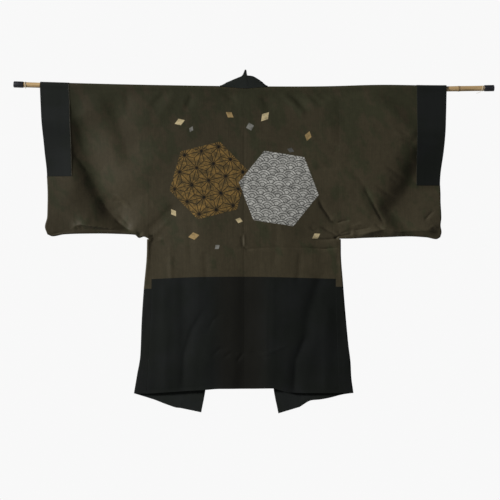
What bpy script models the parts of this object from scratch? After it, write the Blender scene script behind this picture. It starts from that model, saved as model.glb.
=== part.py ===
"""A men's haori jacket, turned inside out and hung flat on a rod by its sleeves.

Metres, +Z up. The origin is on the rod's axis, at the jacket's centre back seam. The jacket's back
faces -Y and its two fronts face +Y. "Left" is the -X side and "right" the +X side.

Each cut piece is one wall of cloth. A wall is a flat grid bent to the inner face of the cloth and
thickened outwards, so pieces that meet at a seam share the same face and stay a seam gap apart.
"""

import math
from dataclasses import dataclass
from typing import Callable, NamedTuple

import bmesh
import bpy
from mathutils import Vector

# Cloth and seams
CLOTH = 0.0012          # lining and outer cloth, worn together as one wall
FACING_CLOTH = 0.0010   # outer cloth turned in at the cuffs
COLLAR_CLOTH = 0.0026   # collar strip, folded lengthwise over its stay
SEAM_GAP = 0.0003

# Rod: a bamboo cane that hangs a little off level and sags under the jacket
ROD_RADIUS = 0.0076
ROD_LEFT_END = -0.7035
ROD_RIGHT_END = 0.7680
ROD_TILT = -0.0089      # rise for each metre along +X
ROD_BEND = 0.0178       # rise for each square metre away from the middle
ROD_POINTS = 15
CAP_RADIUS = 0.0090
CAP_LENGTH = 0.0310

# How the cloth hangs
SHOULDER_RADIUS = 0.0085   # inner radius of the fold over the rod
HANG_DEPTH = 0.0130        # half of the hollow between back and fronts
HANG_DROP = 0.12           # the hollow reaches its full depth this far below the rod
EDGE_RADIUS = 0.0025       # inner radius of a folded or sewn edge
EDGE_FADE = 0.038          # the walls close towards such an edge over this distance
RELIEF_FADE = 0.05         # folds die out this close to the rod
SLACK_X = 0.46             # the right shoulder stands clear of the rod here
SLACK_RISE = 0.0050
SLACK_WIDTH = 0.12

# Levels shared by several pieces
ARMPIT_Z = -0.4783
NECK_X = 0.0780            # half the width of the neck at the shoulder
COLLAR_TOP_Z = -0.0500     # below this the collar lies flat on the fronts
LOOP_Z = -0.3600           # fastening loops on the collar's free edges
LOOP_RADIUS = 0.0060
LOOP_CORD_RADIUS = 0.0012
LOOP_GAP = 0.0006          # between the slanting edge and the loop's flat ends
LOOP_STEPS = 8

# Grid sizes
NECK_COLUMNS = 4
BODY_COLUMNS = 7
BODY_UPPER_ROWS = 13
BODY_LOWER_ROWS = 4
HEM_ROWS = 10
SLEEVE_COLUMNS = 11
FACING_COLUMNS = 3
FACING_ROWS = 9
SLEEVE_LOWER_ROWS = 7
SHOULDER_SEGMENTS = 5
EDGE_SEGMENTS = 3
GORE_COLUMNS = 2
COLLAR_COLUMNS = 3
COLLAR_ROWS = 24
SETTLE_STEPS = 5

COLLECTION = "haori_jacket"


class Spot(NamedTuple):
    """A point of an outline, seen from the back."""

    x: float
    z: float


class Fold(NamedTuple):
    """A soft crease along a path; its rise is outward, or inward if negative."""

    width: float
    rise: float
    path: tuple[Spot, ...]


class NeckStation(NamedTuple):
    """The collar's sewn and free edges at one station around the neck."""

    seam_x: float
    seam_y: float
    seam_z: float
    free_x: float
    free_y: float
    free_z: float


@dataclass(frozen=True)
class Side:
    """The sizes of one side of the jacket."""

    name: str
    sign: int                        # -1 on the -X side, 1 on the +X side
    armhole_x: float
    facing_z: float                  # lower end of the cuff opening and its facing
    gore_black_z: float              # where the gore's lining meets its outer cloth
    sleeve_end: tuple[Spot, ...]     # outer edge of the sleeve, down
    facing_seam: tuple[Spot, ...]    # inner edge of the cuff facing, down
    sleeve_bottom: tuple[Spot, ...]  # lower edge of the sleeve, from the corner to the armpit
    body_side: tuple[Spot, ...]      # folded edge of the gore, down
    gore_seam: tuple[Spot, ...]      # seam between panel and gore, down
    front_hem: tuple[Spot, ...]      # hem of the front, from the side to the collar
    collar_seam: tuple[Spot, ...]    # seam between front and collar, down
    collar_free: tuple[Spot, ...]    # free edge of the collar, down


LEFT = Side(
    name="left",
    sign=-1,
    armhole_x=-0.3060,
    facing_z=-0.2780,
    gore_black_z=-0.6390,
    sleeve_end=(
        Spot(-0.6500, 0.0210), Spot(-0.6460, -0.0790), Spot(-0.6350, -0.1910), Spot(-0.6280, -0.2650),
        Spot(-0.6270, -0.3390), Spot(-0.6300, -0.4060), Spot(-0.6330, -0.4380), Spot(-0.6250, -0.4640),
    ),
    facing_seam=(Spot(-0.5620, 0.0200), Spot(-0.5530, -0.2780), Spot(-0.5470, -0.4640)),
    sleeve_bottom=(
        Spot(-0.6250, -0.4640), Spot(-0.6110, -0.4700), Spot(-0.5760, -0.4640), Spot(-0.5250, -0.4580),
        Spot(-0.4640, -0.4580), Spot(-0.3930, -0.4590), Spot(-0.3490, -0.4620), Spot(-0.3360, -0.4710),
        Spot(-0.3210, -0.4690), Spot(-0.3060, -0.4783),
    ),
    body_side=(
        Spot(-0.3110, -0.4800), Spot(-0.3120, -0.5210), Spot(-0.3180, -0.6380), Spot(-0.3250, -0.7450),
        Spot(-0.3300, -0.8520), Spot(-0.3390, -0.9190), Spot(-0.3480, -0.9710),
    ),
    gore_seam=(Spot(-0.3060, -0.4783), Spot(-0.2965, -0.6080), Spot(-0.3130, -0.9720)),
    front_hem=(
        Spot(-0.3480, -0.9715), Spot(-0.2890, -0.9920), Spot(-0.2450, -1.0090), Spot(-0.2150, -1.0180),
        Spot(-0.2010, -1.0190),
    ),
    collar_seam=(Spot(-0.0785, 0.0100), Spot(-0.0960, -0.1400), Spot(-0.2010, -1.0190)),
    collar_free=(
        Spot(-0.0380, -0.0500), Spot(-0.0330, -0.1400), Spot(-0.1230, -0.9610), Spot(-0.1370, -1.0310),
    ),
)

RIGHT = Side(
    name="right",
    sign=1,
    armhole_x=0.3070,
    facing_z=-0.3070,
    gore_black_z=-0.6330,
    sleeve_end=(
        Spot(0.6430, 0.0130), Spot(0.6400, -0.1110), Spot(0.6350, -0.1910), Spot(0.6220, -0.2940),
        Spot(0.6210, -0.3550), Spot(0.6280, -0.4380), Spot(0.6280, -0.4570), Spot(0.6240, -0.4680),
    ),
    facing_seam=(Spot(0.5546, 0.0130), Spot(0.5555, -0.3070), Spot(0.5530, -0.4680)),
    sleeve_bottom=(
        Spot(0.6240, -0.4680), Spot(0.6150, -0.4745), Spot(0.5860, -0.4680), Spot(0.5300, -0.4650),
        Spot(0.4530, -0.4690), Spot(0.3870, -0.4730), Spot(0.3360, -0.4780), Spot(0.3070, -0.4783),
    ),
    body_side=(
        Spot(0.3118, -0.4800), Spot(0.3122, -0.5210), Spot(0.3150, -0.6230), Spot(0.3210, -0.7250),
        Spot(0.3290, -0.8220), Spot(0.3320, -0.8780), Spot(0.3360, -0.9190), Spot(0.3430, -0.9680),
    ),
    gore_seam=(Spot(0.3070, -0.4783), Spot(0.2955, -0.6070), Spot(0.3060, -0.9700)),
    front_hem=(
        Spot(0.3430, -0.9680), Spot(0.3190, -0.9730), Spot(0.2750, -0.9850), Spot(0.2430, -0.9910),
        Spot(0.2180, -0.9920), Spot(0.1800, -1.0120),
    ),
    collar_seam=(Spot(0.0810, 0.0100), Spot(0.0980, -0.1400), Spot(0.1800, -1.0120)),
    collar_free=(
        Spot(0.0400, -0.0500), Spot(0.0340, -0.1400), Spot(0.0950, -0.9550), Spot(0.1110, -1.0340),
    ),
)

SIDES = (LEFT, RIGHT)

# Edge of the back panels around the neck
NECK_EDGE = (
    Spot(-0.0780, 0.0060), Spot(-0.0585, 0.0056), Spot(-0.0390, 0.0046), Spot(0.0000, 0.0030),
    Spot(0.0390, 0.0036), Spot(0.0585, 0.0046), Spot(0.0780, 0.0050),
)

# Seam between the lining and the outer cloth that is turned up above the hem
TURN_UP = (Spot(-0.2970, -0.6080), Spot(-0.1320, -0.6010), Spot(0.0040, -0.6000), Spot(0.2950, -0.6070))

BACK_HEM = (
    Spot(-0.3480, -0.9716), Spot(-0.3130, -0.9716), Spot(-0.2520, -0.9680), Spot(-0.1910, -0.9640),
    Spot(-0.1240, -0.9600), Spot(-0.0760, -0.9570), Spot(0.0200, -0.9565), Spot(0.0930, -0.9550),
    Spot(0.1160, -0.9610), Spot(0.1480, -0.9680), Spot(0.1990, -0.9700), Spot(0.3050, -0.9690),
    Spot(0.3430, -0.9682),
)

BACK_FOLDS = (
    # Left sleeve: the long slanting trough, and the creases beside it
    Fold(
        0.015, -0.0050,
        (Spot(-0.553, -0.207), Spot(-0.505, -0.310), Spot(-0.422, -0.412), Spot(-0.355, -0.452)),
    ),
    Fold(0.015, -0.0035, (Spot(-0.463, -0.030), Spot(-0.422, -0.127), Spot(-0.371, -0.252))),
    Fold(0.012, -0.0025, (Spot(-0.547, -0.076), Spot(-0.515, -0.147))),
    Fold(0.020, 0.0030, (Spot(-0.525, -0.220), Spot(-0.470, -0.325))),
    Fold(0.020, 0.0025, (Spot(-0.590, -0.350), Spot(-0.560, -0.425))),
    Fold(0.016, 0.0025, (Spot(-0.385, -0.330), Spot(-0.330, -0.430))),
    # Left armpit and neck
    Fold(0.012, -0.0030, (Spot(-0.295, -0.438), Spot(-0.239, -0.391))),
    Fold(0.014, -0.0020, (Spot(-0.076, -0.020), Spot(-0.015, -0.045))),
    # Right shoulder
    Fold(0.014, -0.0030, (Spot(0.141, -0.020), Spot(0.212, -0.075))),
    Fold(0.016, -0.0025, (Spot(0.244, -0.020), Spot(0.262, -0.110))),
    # Right sleeve and armpit
    Fold(0.012, -0.0030, (Spot(0.359, -0.278), Spot(0.445, -0.415))),
    Fold(0.020, -0.0045, (Spot(0.516, -0.252), Spot(0.439, -0.383))),
    Fold(0.018, 0.0025, (Spot(0.400, -0.230), Spot(0.470, -0.330))),
    Fold(0.018, 0.0025, (Spot(0.580, -0.330), Spot(0.540, -0.430))),
    Fold(0.012, -0.0030, (Spot(0.244, -0.364), Spot(0.300, -0.455))),
    # Lower back
    Fold(0.010, -0.0015, (Spot(-0.172, -0.300), Spot(-0.172, -0.600))),
    Fold(0.010, -0.0015, (Spot(0.103, -0.300), Spot(0.092, -0.600))),
    Fold(0.015, -0.0040, (Spot(-0.195, -0.643), Spot(-0.195, -0.956))),
    Fold(0.014, -0.0025, (Spot(-0.111, -0.690), Spot(-0.165, -0.790))),
    Fold(0.016, -0.0030, (Spot(-0.026, -0.650), Spot(-0.022, -0.950))),
    Fold(0.016, -0.0040, (Spot(0.234, -0.627), Spot(0.205, -0.803), Spot(0.160, -0.950))),
    Fold(0.018, 0.0025, (Spot(-0.252, -0.660), Spot(-0.250, -0.950))),
    Fold(0.020, 0.0025, (Spot(-0.110, -0.800), Spot(-0.120, -0.950))),
    Fold(0.022, 0.0030, (Spot(0.075, -0.640), Spot(0.068, -0.950))),
    Fold(0.018, 0.0025, (Spot(0.262, -0.700), Spot(0.256, -0.950))),
)

FRONT_FOLDS = (
    # Left sleeve and front
    Fold(0.015, -0.0030, (Spot(-0.470, -0.040), Spot(-0.420, -0.230))),
    Fold(0.016, -0.0045, (Spot(-0.540, -0.250), Spot(-0.480, -0.350), Spot(-0.400, -0.420))),
    Fold(0.018, 0.0025, (Spot(-0.590, -0.330), Spot(-0.560, -0.420))),
    Fold(0.016, -0.0030, (Spot(-0.260, -0.040), Spot(-0.230, -0.300))),
    Fold(0.018, -0.0040, (Spot(-0.190, -0.420), Spot(-0.215, -0.640), Spot(-0.250, -0.930))),
    Fold(0.016, 0.0025, (Spot(-0.245, -0.520), Spot(-0.300, -0.900))),
    # Right sleeve and front
    Fold(0.016, -0.0030, (Spot(0.450, -0.040), Spot(0.430, -0.240))),
    Fold(0.018, -0.0045, (Spot(0.530, -0.240), Spot(0.480, -0.330), Spot(0.420, -0.400))),
    Fold(0.018, 0.0025, (Spot(0.590, -0.330), Spot(0.545, -0.430))),
    Fold(0.015, -0.0030, (Spot(0.250, -0.050), Spot(0.225, -0.320))),
    Fold(0.018, -0.0040, (Spot(0.205, -0.400), Spot(0.225, -0.640), Spot(0.240, -0.930))),
    Fold(0.016, 0.0025, (Spot(0.250, -0.500), Spot(0.295, -0.900))),
)

# The collar from the left front, around the back of the neck, to the right front. Its free edge
# stands up behind the neck and is pinched to a narrow tip beside the centre.
NECK_STATIONS = (
    NeckStation(-0.0800, 0.0102, -0.0280, -0.0430, 0.0122, -0.0220),
    NeckStation(-0.0776, 0.0086, -0.0030, -0.0490, 0.0105, 0.0020),
    NeckStation(-0.0773, 0.0083, 0.0032, -0.0520, 0.0096, 0.0072),
    NeckStation(-0.0770, 0.0056, 0.0076, -0.0550, 0.0060, 0.0110),
    NeckStation(-0.0768, 0.0000, 0.0094, -0.0570, 0.0005, 0.0124),
    NeckStation(-0.0756, -0.0048, 0.0082, -0.0575, -0.0034, 0.0158),
    NeckStation(-0.0660, -0.0066, 0.0072, -0.0500, -0.0048, 0.0215),
    NeckStation(-0.0480, -0.0069, 0.0064, -0.0346, -0.0058, 0.0300),
    NeckStation(-0.0260, -0.0071, 0.0055, -0.0180, -0.0064, 0.0375),
    NeckStation(-0.0100, -0.0074, 0.0048, -0.0070, -0.0066, 0.0415),
    NeckStation(-0.0030, -0.0075, 0.0044, -0.0015, -0.0066, 0.0470),
    NeckStation(0.0010, -0.0075, 0.0042, 0.0016, -0.0066, 0.0550),
    NeckStation(0.0045, -0.0075, 0.0042, 0.0048, -0.0066, 0.0612),
    NeckStation(0.0080, -0.0075, 0.0042, 0.0078, -0.0066, 0.0590),
    NeckStation(0.0120, -0.0075, 0.0043, 0.0096, -0.0066, 0.0500),
    NeckStation(0.0160, -0.0074, 0.0044, 0.0125, -0.0066, 0.0425),
    NeckStation(0.0290, -0.0073, 0.0046, 0.0255, -0.0064, 0.0398),
    NeckStation(0.0450, -0.0071, 0.0052, 0.0400, -0.0058, 0.0338),
    NeckStation(0.0640, -0.0067, 0.0062, 0.0540, -0.0048, 0.0240),
    NeckStation(0.0745, -0.0048, 0.0074, 0.0610, -0.0034, 0.0160),
    NeckStation(0.0766, 0.0000, 0.0088, 0.0612, 0.0005, 0.0120),
    NeckStation(0.0771, 0.0056, 0.0070, 0.0585, 0.0060, 0.0100),
    NeckStation(0.0773, 0.0083, 0.0026, 0.0550, 0.0096, 0.0062),
    NeckStation(0.0778, 0.0086, -0.0030, 0.0515, 0.0105, 0.0016),
    NeckStation(0.0820, 0.0102, -0.0280, 0.0450, 0.0122, -0.0220),
)

# Finishes: colour, roughness, metallic
LINING = ("lining_silk", (0.046, 0.038, 0.025), 0.45, 0.0)
OUTER = ("outer_silk", (0.010, 0.012, 0.012), 0.80, 0.0)
BAMBOO = ("bamboo", (0.52, 0.36, 0.16), 0.45, 0.0)
CAP = ("cap_plastic", (0.012, 0.012, 0.012), 0.40, 0.0)


def clear_scene() -> None:
    """Remove every object that the file holds."""
    for item in list(bpy.data.objects):
        bpy.data.objects.remove(item, do_unlink=True)


def material(finish: tuple) -> bpy.types.Material:
    """Return the named plain material, made once."""
    name, colour, roughness, metallic = finish
    found = bpy.data.materials.get(name)
    if found:
        return found
    made = bpy.data.materials.new(name)
    made.use_nodes = True
    shader = made.node_tree.nodes["Principled BSDF"]
    shader.inputs["Base Color"].default_value = (*colour, 1.0)
    shader.inputs["Roughness"].default_value = roughness
    shader.inputs["Metallic"].default_value = metallic
    return made


def add_object(name: str, data: bpy.types.ID, finish: tuple) -> bpy.types.Object:
    """Put mesh or curve data in the jacket's collection as a named, finished object."""
    collection = bpy.data.collections.get(COLLECTION)
    if collection is None:
        collection = bpy.data.collections.new(COLLECTION)
        bpy.context.scene.collection.children.link(collection)
    data.materials.append(material(finish))
    made = bpy.data.objects.new(name, data)
    collection.objects.link(made)
    return made


def lerp(start: float, end: float, part: float) -> float:
    """Blend from start to end."""
    return start + (end - start) * part


def smoothstep(low: float, high: float, value: float) -> float:
    """Rise smoothly from 0 at low to 1 at high."""
    part = min(max((value - low) / (high - low), 0.0), 1.0)
    return part * part * (3.0 - 2.0 * part)


def interpolate(pairs: list, value: float) -> float:
    """Read a short table of (key, value) pairs, straight between its rows and flat past its ends."""
    rows = sorted(pairs)
    if value <= rows[0][0]:
        return rows[0][1]
    for (key0, out0), (key1, out1) in zip(rows, rows[1:]):
        if value <= key1:
            return lerp(out0, out1, (value - key0) / (key1 - key0))
    return rows[-1][1]


def x_at(outline: tuple[Spot, ...], z: float) -> float:
    """The x of an upright outline at height z."""
    return interpolate([(spot.z, spot.x) for spot in outline], z)


def z_at(outline: tuple[Spot, ...], x: float) -> float:
    """The height of a level outline at x."""
    return interpolate([(spot.x, spot.z) for spot in outline], x)


def path_distance(x: float, z: float, path: tuple[Spot, ...]) -> float:
    """Distance from a point to a path of straight stretches, seen from the back."""
    near = math.inf
    for start, end in zip(path, path[1:]):
        run, rise = end.x - start.x, end.z - start.z
        part = ((x - start.x) * run + (z - start.z) * rise) / (run * run + rise * rise)
        part = min(max(part, 0.0), 1.0)
        near = min(near, math.hypot(x - start.x - run * part, z - start.z - rise * part))
    return near


def rod_z(x: float) -> float:
    """Height of the rod's axis."""
    return ROD_TILT * x + ROD_BEND * x * x


def fold_z(x: float) -> float:
    """Height of the middle of the fold that lies over the rod."""
    slack = SLACK_RISE * math.exp(-(((x - SLACK_X) / SLACK_WIDTH) ** 2))
    return rod_z(x) + slack


def closed_edges(side: Side) -> tuple[Spot, ...]:
    """The line along which back and front meet: sleeve end, sleeve bottom and body side."""
    start = Spot(x_at(side.sleeve_end, side.facing_z), side.facing_z)
    sewn_end = [spot for spot in side.sleeve_end if spot.z < side.facing_z]
    return (start, *sewn_end, *side.sleeve_bottom[1:], *side.body_side)


CLOSED_EDGES = {side.name: closed_edges(side) for side in SIDES}


def openness(x: float, z: float) -> float:
    """0 along a closed edge, 1 well inside the jacket."""
    edges = CLOSED_EDGES["left" if x < 0.0 else "right"]
    return smoothstep(EDGE_RADIUS + CLOTH, EDGE_FADE, path_distance(x, z, edges))


def relief(folds: tuple[Fold, ...], x: float, z: float) -> float:
    """How far the folds move a wall outward here."""
    total = 0.0
    for fold in folds:
        total += fold.rise * math.exp(-((path_distance(x, z, fold.path) / fold.width) ** 2))
    return total * smoothstep(0.0, RELIEF_FADE, fold_z(x) - z)


def wall_depth(folds: tuple[Fold, ...], x: float, z: float) -> float:
    """Distance of a wall's inner face from the jacket's middle plane."""
    hang = lerp(SHOULDER_RADIUS, HANG_DEPTH, smoothstep(0.0, HANG_DROP, fold_z(x) - z))
    return lerp(EDGE_RADIUS, hang + relief(folds, x, z), openness(x, z))


def back_point(x: float, z: float) -> Vector:
    """A point of the back's inner face."""
    return Vector((x, -wall_depth(BACK_FOLDS, x, z), z))


def front_point(x: float, z: float) -> Vector:
    """A point of the fronts' inner face."""
    return Vector((x, wall_depth(FRONT_FOLDS, x, z), z))


def shoulder_point(x: float, step: int) -> Vector:
    """A point of the fold over the rod; step 0 meets the back, the last step the front."""
    angle = math.pi * step / SHOULDER_SEGMENTS
    return Vector((x, -SHOULDER_RADIUS * math.cos(angle), fold_z(x) + SHOULDER_RADIUS * math.sin(angle)))


def two_parts(row: int, upper_rows: int, lower_rows: int, top: float, middle: float, low: float) -> float:
    """Height of a row, counted down from the top, that passes the middle height at upper_rows."""
    if row <= upper_rows:
        return lerp(top, middle, row / upper_rows)
    return lerp(middle, low, (row - upper_rows) / lower_rows)


def settle(column_x: Callable[[float], float], row_z: Callable[[float], float], start: float) -> Spot:
    """The point where an upright column, whose x changes with z, crosses a row whose z changes with x."""
    z = start
    for _ in range(SETTLE_STEPS):
        x = column_x(z)
        z = row_z(x)
    return Spot(x, z)


def bent_grid(columns: int, rows: int, place: Callable[[int, int], Vector], flip: bool) -> bmesh.types.BMesh:
    """Bend a flat grid so that its point in column i and row j is at place(i, j)."""
    grid = bmesh.new()
    bmesh.ops.create_grid(grid, x_segments=columns, y_segments=rows, size=1.0)
    layer_i = grid.verts.layers.int.new("column")
    layer_j = grid.verts.layers.int.new("row")
    for vert in grid.verts:
        vert[layer_i] = round((vert.co.x + 1.0) / 2.0 * columns)
        vert[layer_j] = round((vert.co.y + 1.0) / 2.0 * rows)
        vert.co = place(vert[layer_i], vert[layer_j])
    if flip:
        bmesh.ops.reverse_faces(grid, faces=grid.faces)
    return grid


def keep_faces(grid: bmesh.types.BMesh, wanted: Callable[[float, float], bool]) -> None:
    """Delete the faces whose middle column and row aren't wanted."""
    layer_i = grid.verts.layers.int["column"]
    layer_j = grid.verts.layers.int["row"]
    dropped = []
    for face in grid.faces:
        column = sum(vert[layer_i] for vert in face.verts) / len(face.verts)
        row = sum(vert[layer_j] for vert in face.verts) / len(face.verts)
        if not wanted(column, row):
            dropped.append(face)
    bmesh.ops.delete(grid, geom=dropped, context="FACES")


def cloth_object(name: str, grid: bmesh.types.BMesh, thickness: float, finish: tuple) -> bpy.types.Object:
    """Turn a bent grid into a wall of cloth, thickened outwards."""
    mesh = bpy.data.meshes.new(name)
    grid.normal_update()
    grid.to_mesh(mesh)
    grid.free()
    mesh.shade_smooth()
    made = add_object(name, mesh, finish)
    wall = made.modifiers.new("cloth", "SOLIDIFY")
    wall.thickness = thickness
    wall.offset = 1.0
    wall.use_even_offset = True
    wall.use_rim = True
    return made


def body_edge_x(side: Side, z: float) -> float:
    """Edge of a body panel: the armhole seam, and below the armpit the gore's seam."""
    edge = side.armhole_x if z >= ARMPIT_Z else x_at(side.gore_seam, z)
    return edge - side.sign * SEAM_GAP / 2.0


def back_column_x(side: Side, column: int, z: float) -> float:
    """Where a column of the back panel runs, from the centre seam to the panel's edge."""
    if column <= NECK_COLUMNS:
        return side.sign * lerp(SEAM_GAP / 2.0, NECK_X, column / NECK_COLUMNS)
    part = (column - NECK_COLUMNS) / BODY_COLUMNS
    return lerp(side.sign * NECK_X, body_edge_x(side, z), part)


def front_column_x(side: Side, column: int, z: float) -> float:
    """Where a column of the front runs, from the collar's seam to the panel's edge."""
    part = (column - NECK_COLUMNS) / BODY_COLUMNS
    return lerp(x_at(side.collar_seam, z), body_edge_x(side, z), part)


def neck_point(x: float) -> Vector:
    """A point of the back panel's edge around the neck, on the fold over the rod."""
    z = z_at(NECK_EDGE, x)
    rise = z - fold_z(x)
    return Vector((x, -math.sqrt(SHOULDER_RADIUS ** 2 - rise ** 2), z))


def body_lining(side: Side) -> None:
    """One body panel above the turn-up: back, over the shoulder, and front, with the neck cut out."""
    wall_rows = BODY_UPPER_ROWS + BODY_LOWER_ROWS
    front_top = wall_rows + SHOULDER_SEGMENTS

    def spot(column_x: Callable, column: int, down: int) -> Spot:
        return settle(
            lambda z: column_x(side, column, z),
            lambda x: two_parts(
                down, BODY_UPPER_ROWS, BODY_LOWER_ROWS, fold_z(x), ARMPIT_Z, z_at(TURN_UP, x)
            ),
            ARMPIT_Z,
        )

    def place(column: int, row: int) -> Vector:
        if row <= wall_rows:
            return back_point(*spot(back_column_x, column, wall_rows - row))
        if row >= front_top:
            return front_point(*spot(front_column_x, max(column, NECK_COLUMNS), row - front_top))
        x = back_column_x(side, column, 0.0)
        if column < NECK_COLUMNS:
            return neck_point(x)
        return shoulder_point(x, row - wall_rows)

    grid = bent_grid(NECK_COLUMNS + BODY_COLUMNS, wall_rows + front_top, place, side.sign < 0)
    keep_faces(grid, lambda column, row: column > NECK_COLUMNS or row < wall_rows + 1)
    cloth_object(f"body_lining_{side.name}", grid, CLOTH, LINING)


def hem_panel(side: Side, front: bool) -> None:
    """Outer cloth turned up above the hem, on the back or on the front."""
    first = NECK_COLUMNS if front else 0
    hem = side.front_hem if front else BACK_HEM
    column_x = front_column_x if front else back_column_x

    def place(column: int, row: int) -> Vector:
        spot = settle(
            lambda z: column_x(side, first + column, z),
            lambda x: lerp(z_at(TURN_UP, x) - SEAM_GAP, z_at(hem, x), row / HEM_ROWS),
            TURN_UP[0].z,
        )
        return front_point(*spot) if front else back_point(*spot)

    columns = NECK_COLUMNS + BODY_COLUMNS - first
    grid = bent_grid(columns, HEM_ROWS, place, (side.sign > 0) != front)
    cloth_object(f"hem_{'front' if front else 'back'}_{side.name}", grid, CLOTH, OUTER)


def gore(side: Side, name: str, finish: tuple, rows: int, row_z: Callable[[int, float, bool], float]) -> None:
    """A stretch of the narrow side gore, folded in half along the jacket's side edge.

    row_z gives the height of a row at x, on the back or on the front half.
    """
    inset = -side.sign * (EDGE_RADIUS + CLOTH)
    fold_end = GORE_COLUMNS + EDGE_SEGMENTS

    def place(column: int, row: int) -> Vector:
        on_front = column >= fold_end
        across = min(column, GORE_COLUMNS, GORE_COLUMNS + fold_end - column) / GORE_COLUMNS

        def column_x(z: float) -> float:
            seam_x = x_at(side.gore_seam, z) + side.sign * SEAM_GAP / 2.0
            return lerp(seam_x, x_at(side.body_side, z) + inset, across)

        spot = settle(column_x, lambda x: row_z(row, x, on_front), row_z(row, side.body_side[0].x, on_front))
        if not GORE_COLUMNS < column < fold_end:
            return front_point(*spot) if on_front else back_point(*spot)
        angle = math.pi * (column - GORE_COLUMNS) / EDGE_SEGMENTS
        x = spot.x + side.sign * EDGE_RADIUS * math.sin(angle)
        return Vector((x, -EDGE_RADIUS * math.cos(angle), spot.z))

    grid = bent_grid(fold_end + GORE_COLUMNS, rows, place, side.sign > 0)
    cloth_object(f"{name}_{side.name}", grid, CLOTH, finish)


def gore_lining(side: Side) -> None:
    """The gore's upper stretch, whose rows meet those of the body panel down to the turn-up."""
    top = side.body_side[0].z

    def row_z(row: int, x: float, on_front: bool) -> float:
        if row == 0:
            return top
        return two_parts(row, BODY_LOWER_ROWS, 1, ARMPIT_Z, side.gore_seam[1].z, side.gore_black_z)

    gore(side, "gore_lining", LINING, BODY_LOWER_ROWS + 1, row_z)


def gore_hem(side: Side) -> None:
    """The gore's lower stretch of outer cloth, which ends level with the back's and front's hems."""

    def row_z(row: int, x: float, on_front: bool) -> float:
        low = z_at(side.front_hem if on_front else BACK_HEM, x)
        return lerp(side.gore_black_z - SEAM_GAP, low, row / HEM_ROWS)

    gore(side, "gore_hem", OUTER, HEM_ROWS, row_z)


def sleeve_grid(side: Side) -> bmesh.types.BMesh:
    """The sleeve's inner face: a tube around the rod, sewn shut below the cuff opening."""
    wall_rows = FACING_ROWS + SLEEVE_LOWER_ROWS
    front_top = wall_rows + SHOULDER_SEGMENTS
    front_low = front_top + wall_rows
    ring_rows = front_low + EDGE_SEGMENTS
    columns = SLEEVE_COLUMNS + FACING_COLUMNS
    edge_inset = -side.sign * CLOTH

    def column_x(column: int, level: float) -> float:
        inner = side.armhole_x + side.sign * SEAM_GAP / 2.0
        seam = x_at(side.facing_seam, level)
        outer = x_at(side.sleeve_end, level) + edge_inset
        if column <= SLEEVE_COLUMNS:
            return lerp(inner, seam, column / SLEEVE_COLUMNS)
        return lerp(seam, outer, (column - SLEEVE_COLUMNS) / FACING_COLUMNS)

    def row_z(down: int, x: float) -> float:
        low = z_at(side.sleeve_bottom, x) + CLOTH + EDGE_RADIUS
        return two_parts(down, FACING_ROWS, SLEEVE_LOWER_ROWS, fold_z(x), side.facing_z, low)

    def spot(column: int, down: int) -> Spot:
        return settle(lambda z: column_x(column, z), lambda x: row_z(down, x), side.facing_z)

    def place(column: int, row: int) -> Vector:
        if row <= wall_rows:
            return back_point(*spot(column, wall_rows - row))
        if row < front_top:
            return shoulder_point(column_x(column, 0.0), row - wall_rows)
        if row <= front_low:
            return front_point(*spot(column, row - front_top))
        edge = spot(column, wall_rows)
        angle = math.pi * (row - front_low) / EDGE_SEGMENTS
        return Vector((edge.x, EDGE_RADIUS * math.cos(angle), edge.z - EDGE_RADIUS * math.sin(angle)))

    return bent_grid(columns, ring_rows, place, side.sign < 0)


def sleeve(side: Side) -> None:
    """One sleeve, with its end sewn shut below the cuff opening."""
    wall_rows = FACING_ROWS + SLEEVE_LOWER_ROWS
    columns = SLEEVE_COLUMNS + FACING_COLUMNS
    grid = sleeve_grid(side)
    layer_i = grid.verts.layers.int["column"]
    layer_j = grid.verts.layers.int["row"]
    end = {vert[layer_j]: vert for vert in grid.verts if vert[layer_i] == columns}
    front_low = 2 * wall_rows + SHOULDER_SEGMENTS
    for step in range(SLEEVE_LOWER_ROWS):
        corners = [end[step], end[step + 1], end[front_low - step - 1], end[front_low - step]]
        grid.faces.new(corners if side.sign < 0 else corners[::-1])
    corner = [end[0]] + [end[front_low + step] for step in range(EDGE_SEGMENTS)]
    grid.faces.new(corner if side.sign > 0 else corner[::-1])
    bmesh.ops.remove_doubles(grid, verts=grid.verts, dist=0.00001)
    bmesh.ops.recalc_face_normals(grid, faces=grid.faces)
    cloth_object(f"sleeve_{side.name}", grid, CLOTH, LINING)


def facing(side: Side) -> None:
    """The cuff's facing, made from the sleeve's own points and moved out onto it."""
    wall_rows = FACING_ROWS + SLEEVE_LOWER_ROWS
    first_row = SLEEVE_LOWER_ROWS
    last_row = wall_rows + SHOULDER_SEGMENTS + FACING_ROWS
    grid = sleeve_grid(side)
    grid.normal_update()
    for vert in grid.verts:
        vert.co += vert.normal * (CLOTH + SEAM_GAP)
    keep_faces(grid, lambda column, row: column > SLEEVE_COLUMNS and first_row < row < last_row)
    cloth_object(f"cuff_facing_{side.name}", grid, FACING_CLOTH, OUTER)


def collar_front(side: Side) -> list[list[Vector]]:
    """The collar's rows on one front, from the hem up."""
    rows = []
    for step in range(COLLAR_ROWS + 1):
        part = step / COLLAR_ROWS
        seam_z = lerp(side.collar_seam[-1].z, COLLAR_TOP_Z, part)
        free_z = lerp(side.collar_free[-1].z, COLLAR_TOP_Z, part)
        seam_x = x_at(side.collar_seam, seam_z) - side.sign * SEAM_GAP
        free_x = x_at(side.collar_free, free_z)
        row = []
        for column in range(COLLAR_COLUMNS + 1):
            across = column / COLLAR_COLUMNS
            row.append(front_point(lerp(seam_x, free_x, across), lerp(seam_z, free_z, across)))
        rows.append(row)
    return rows


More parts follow.
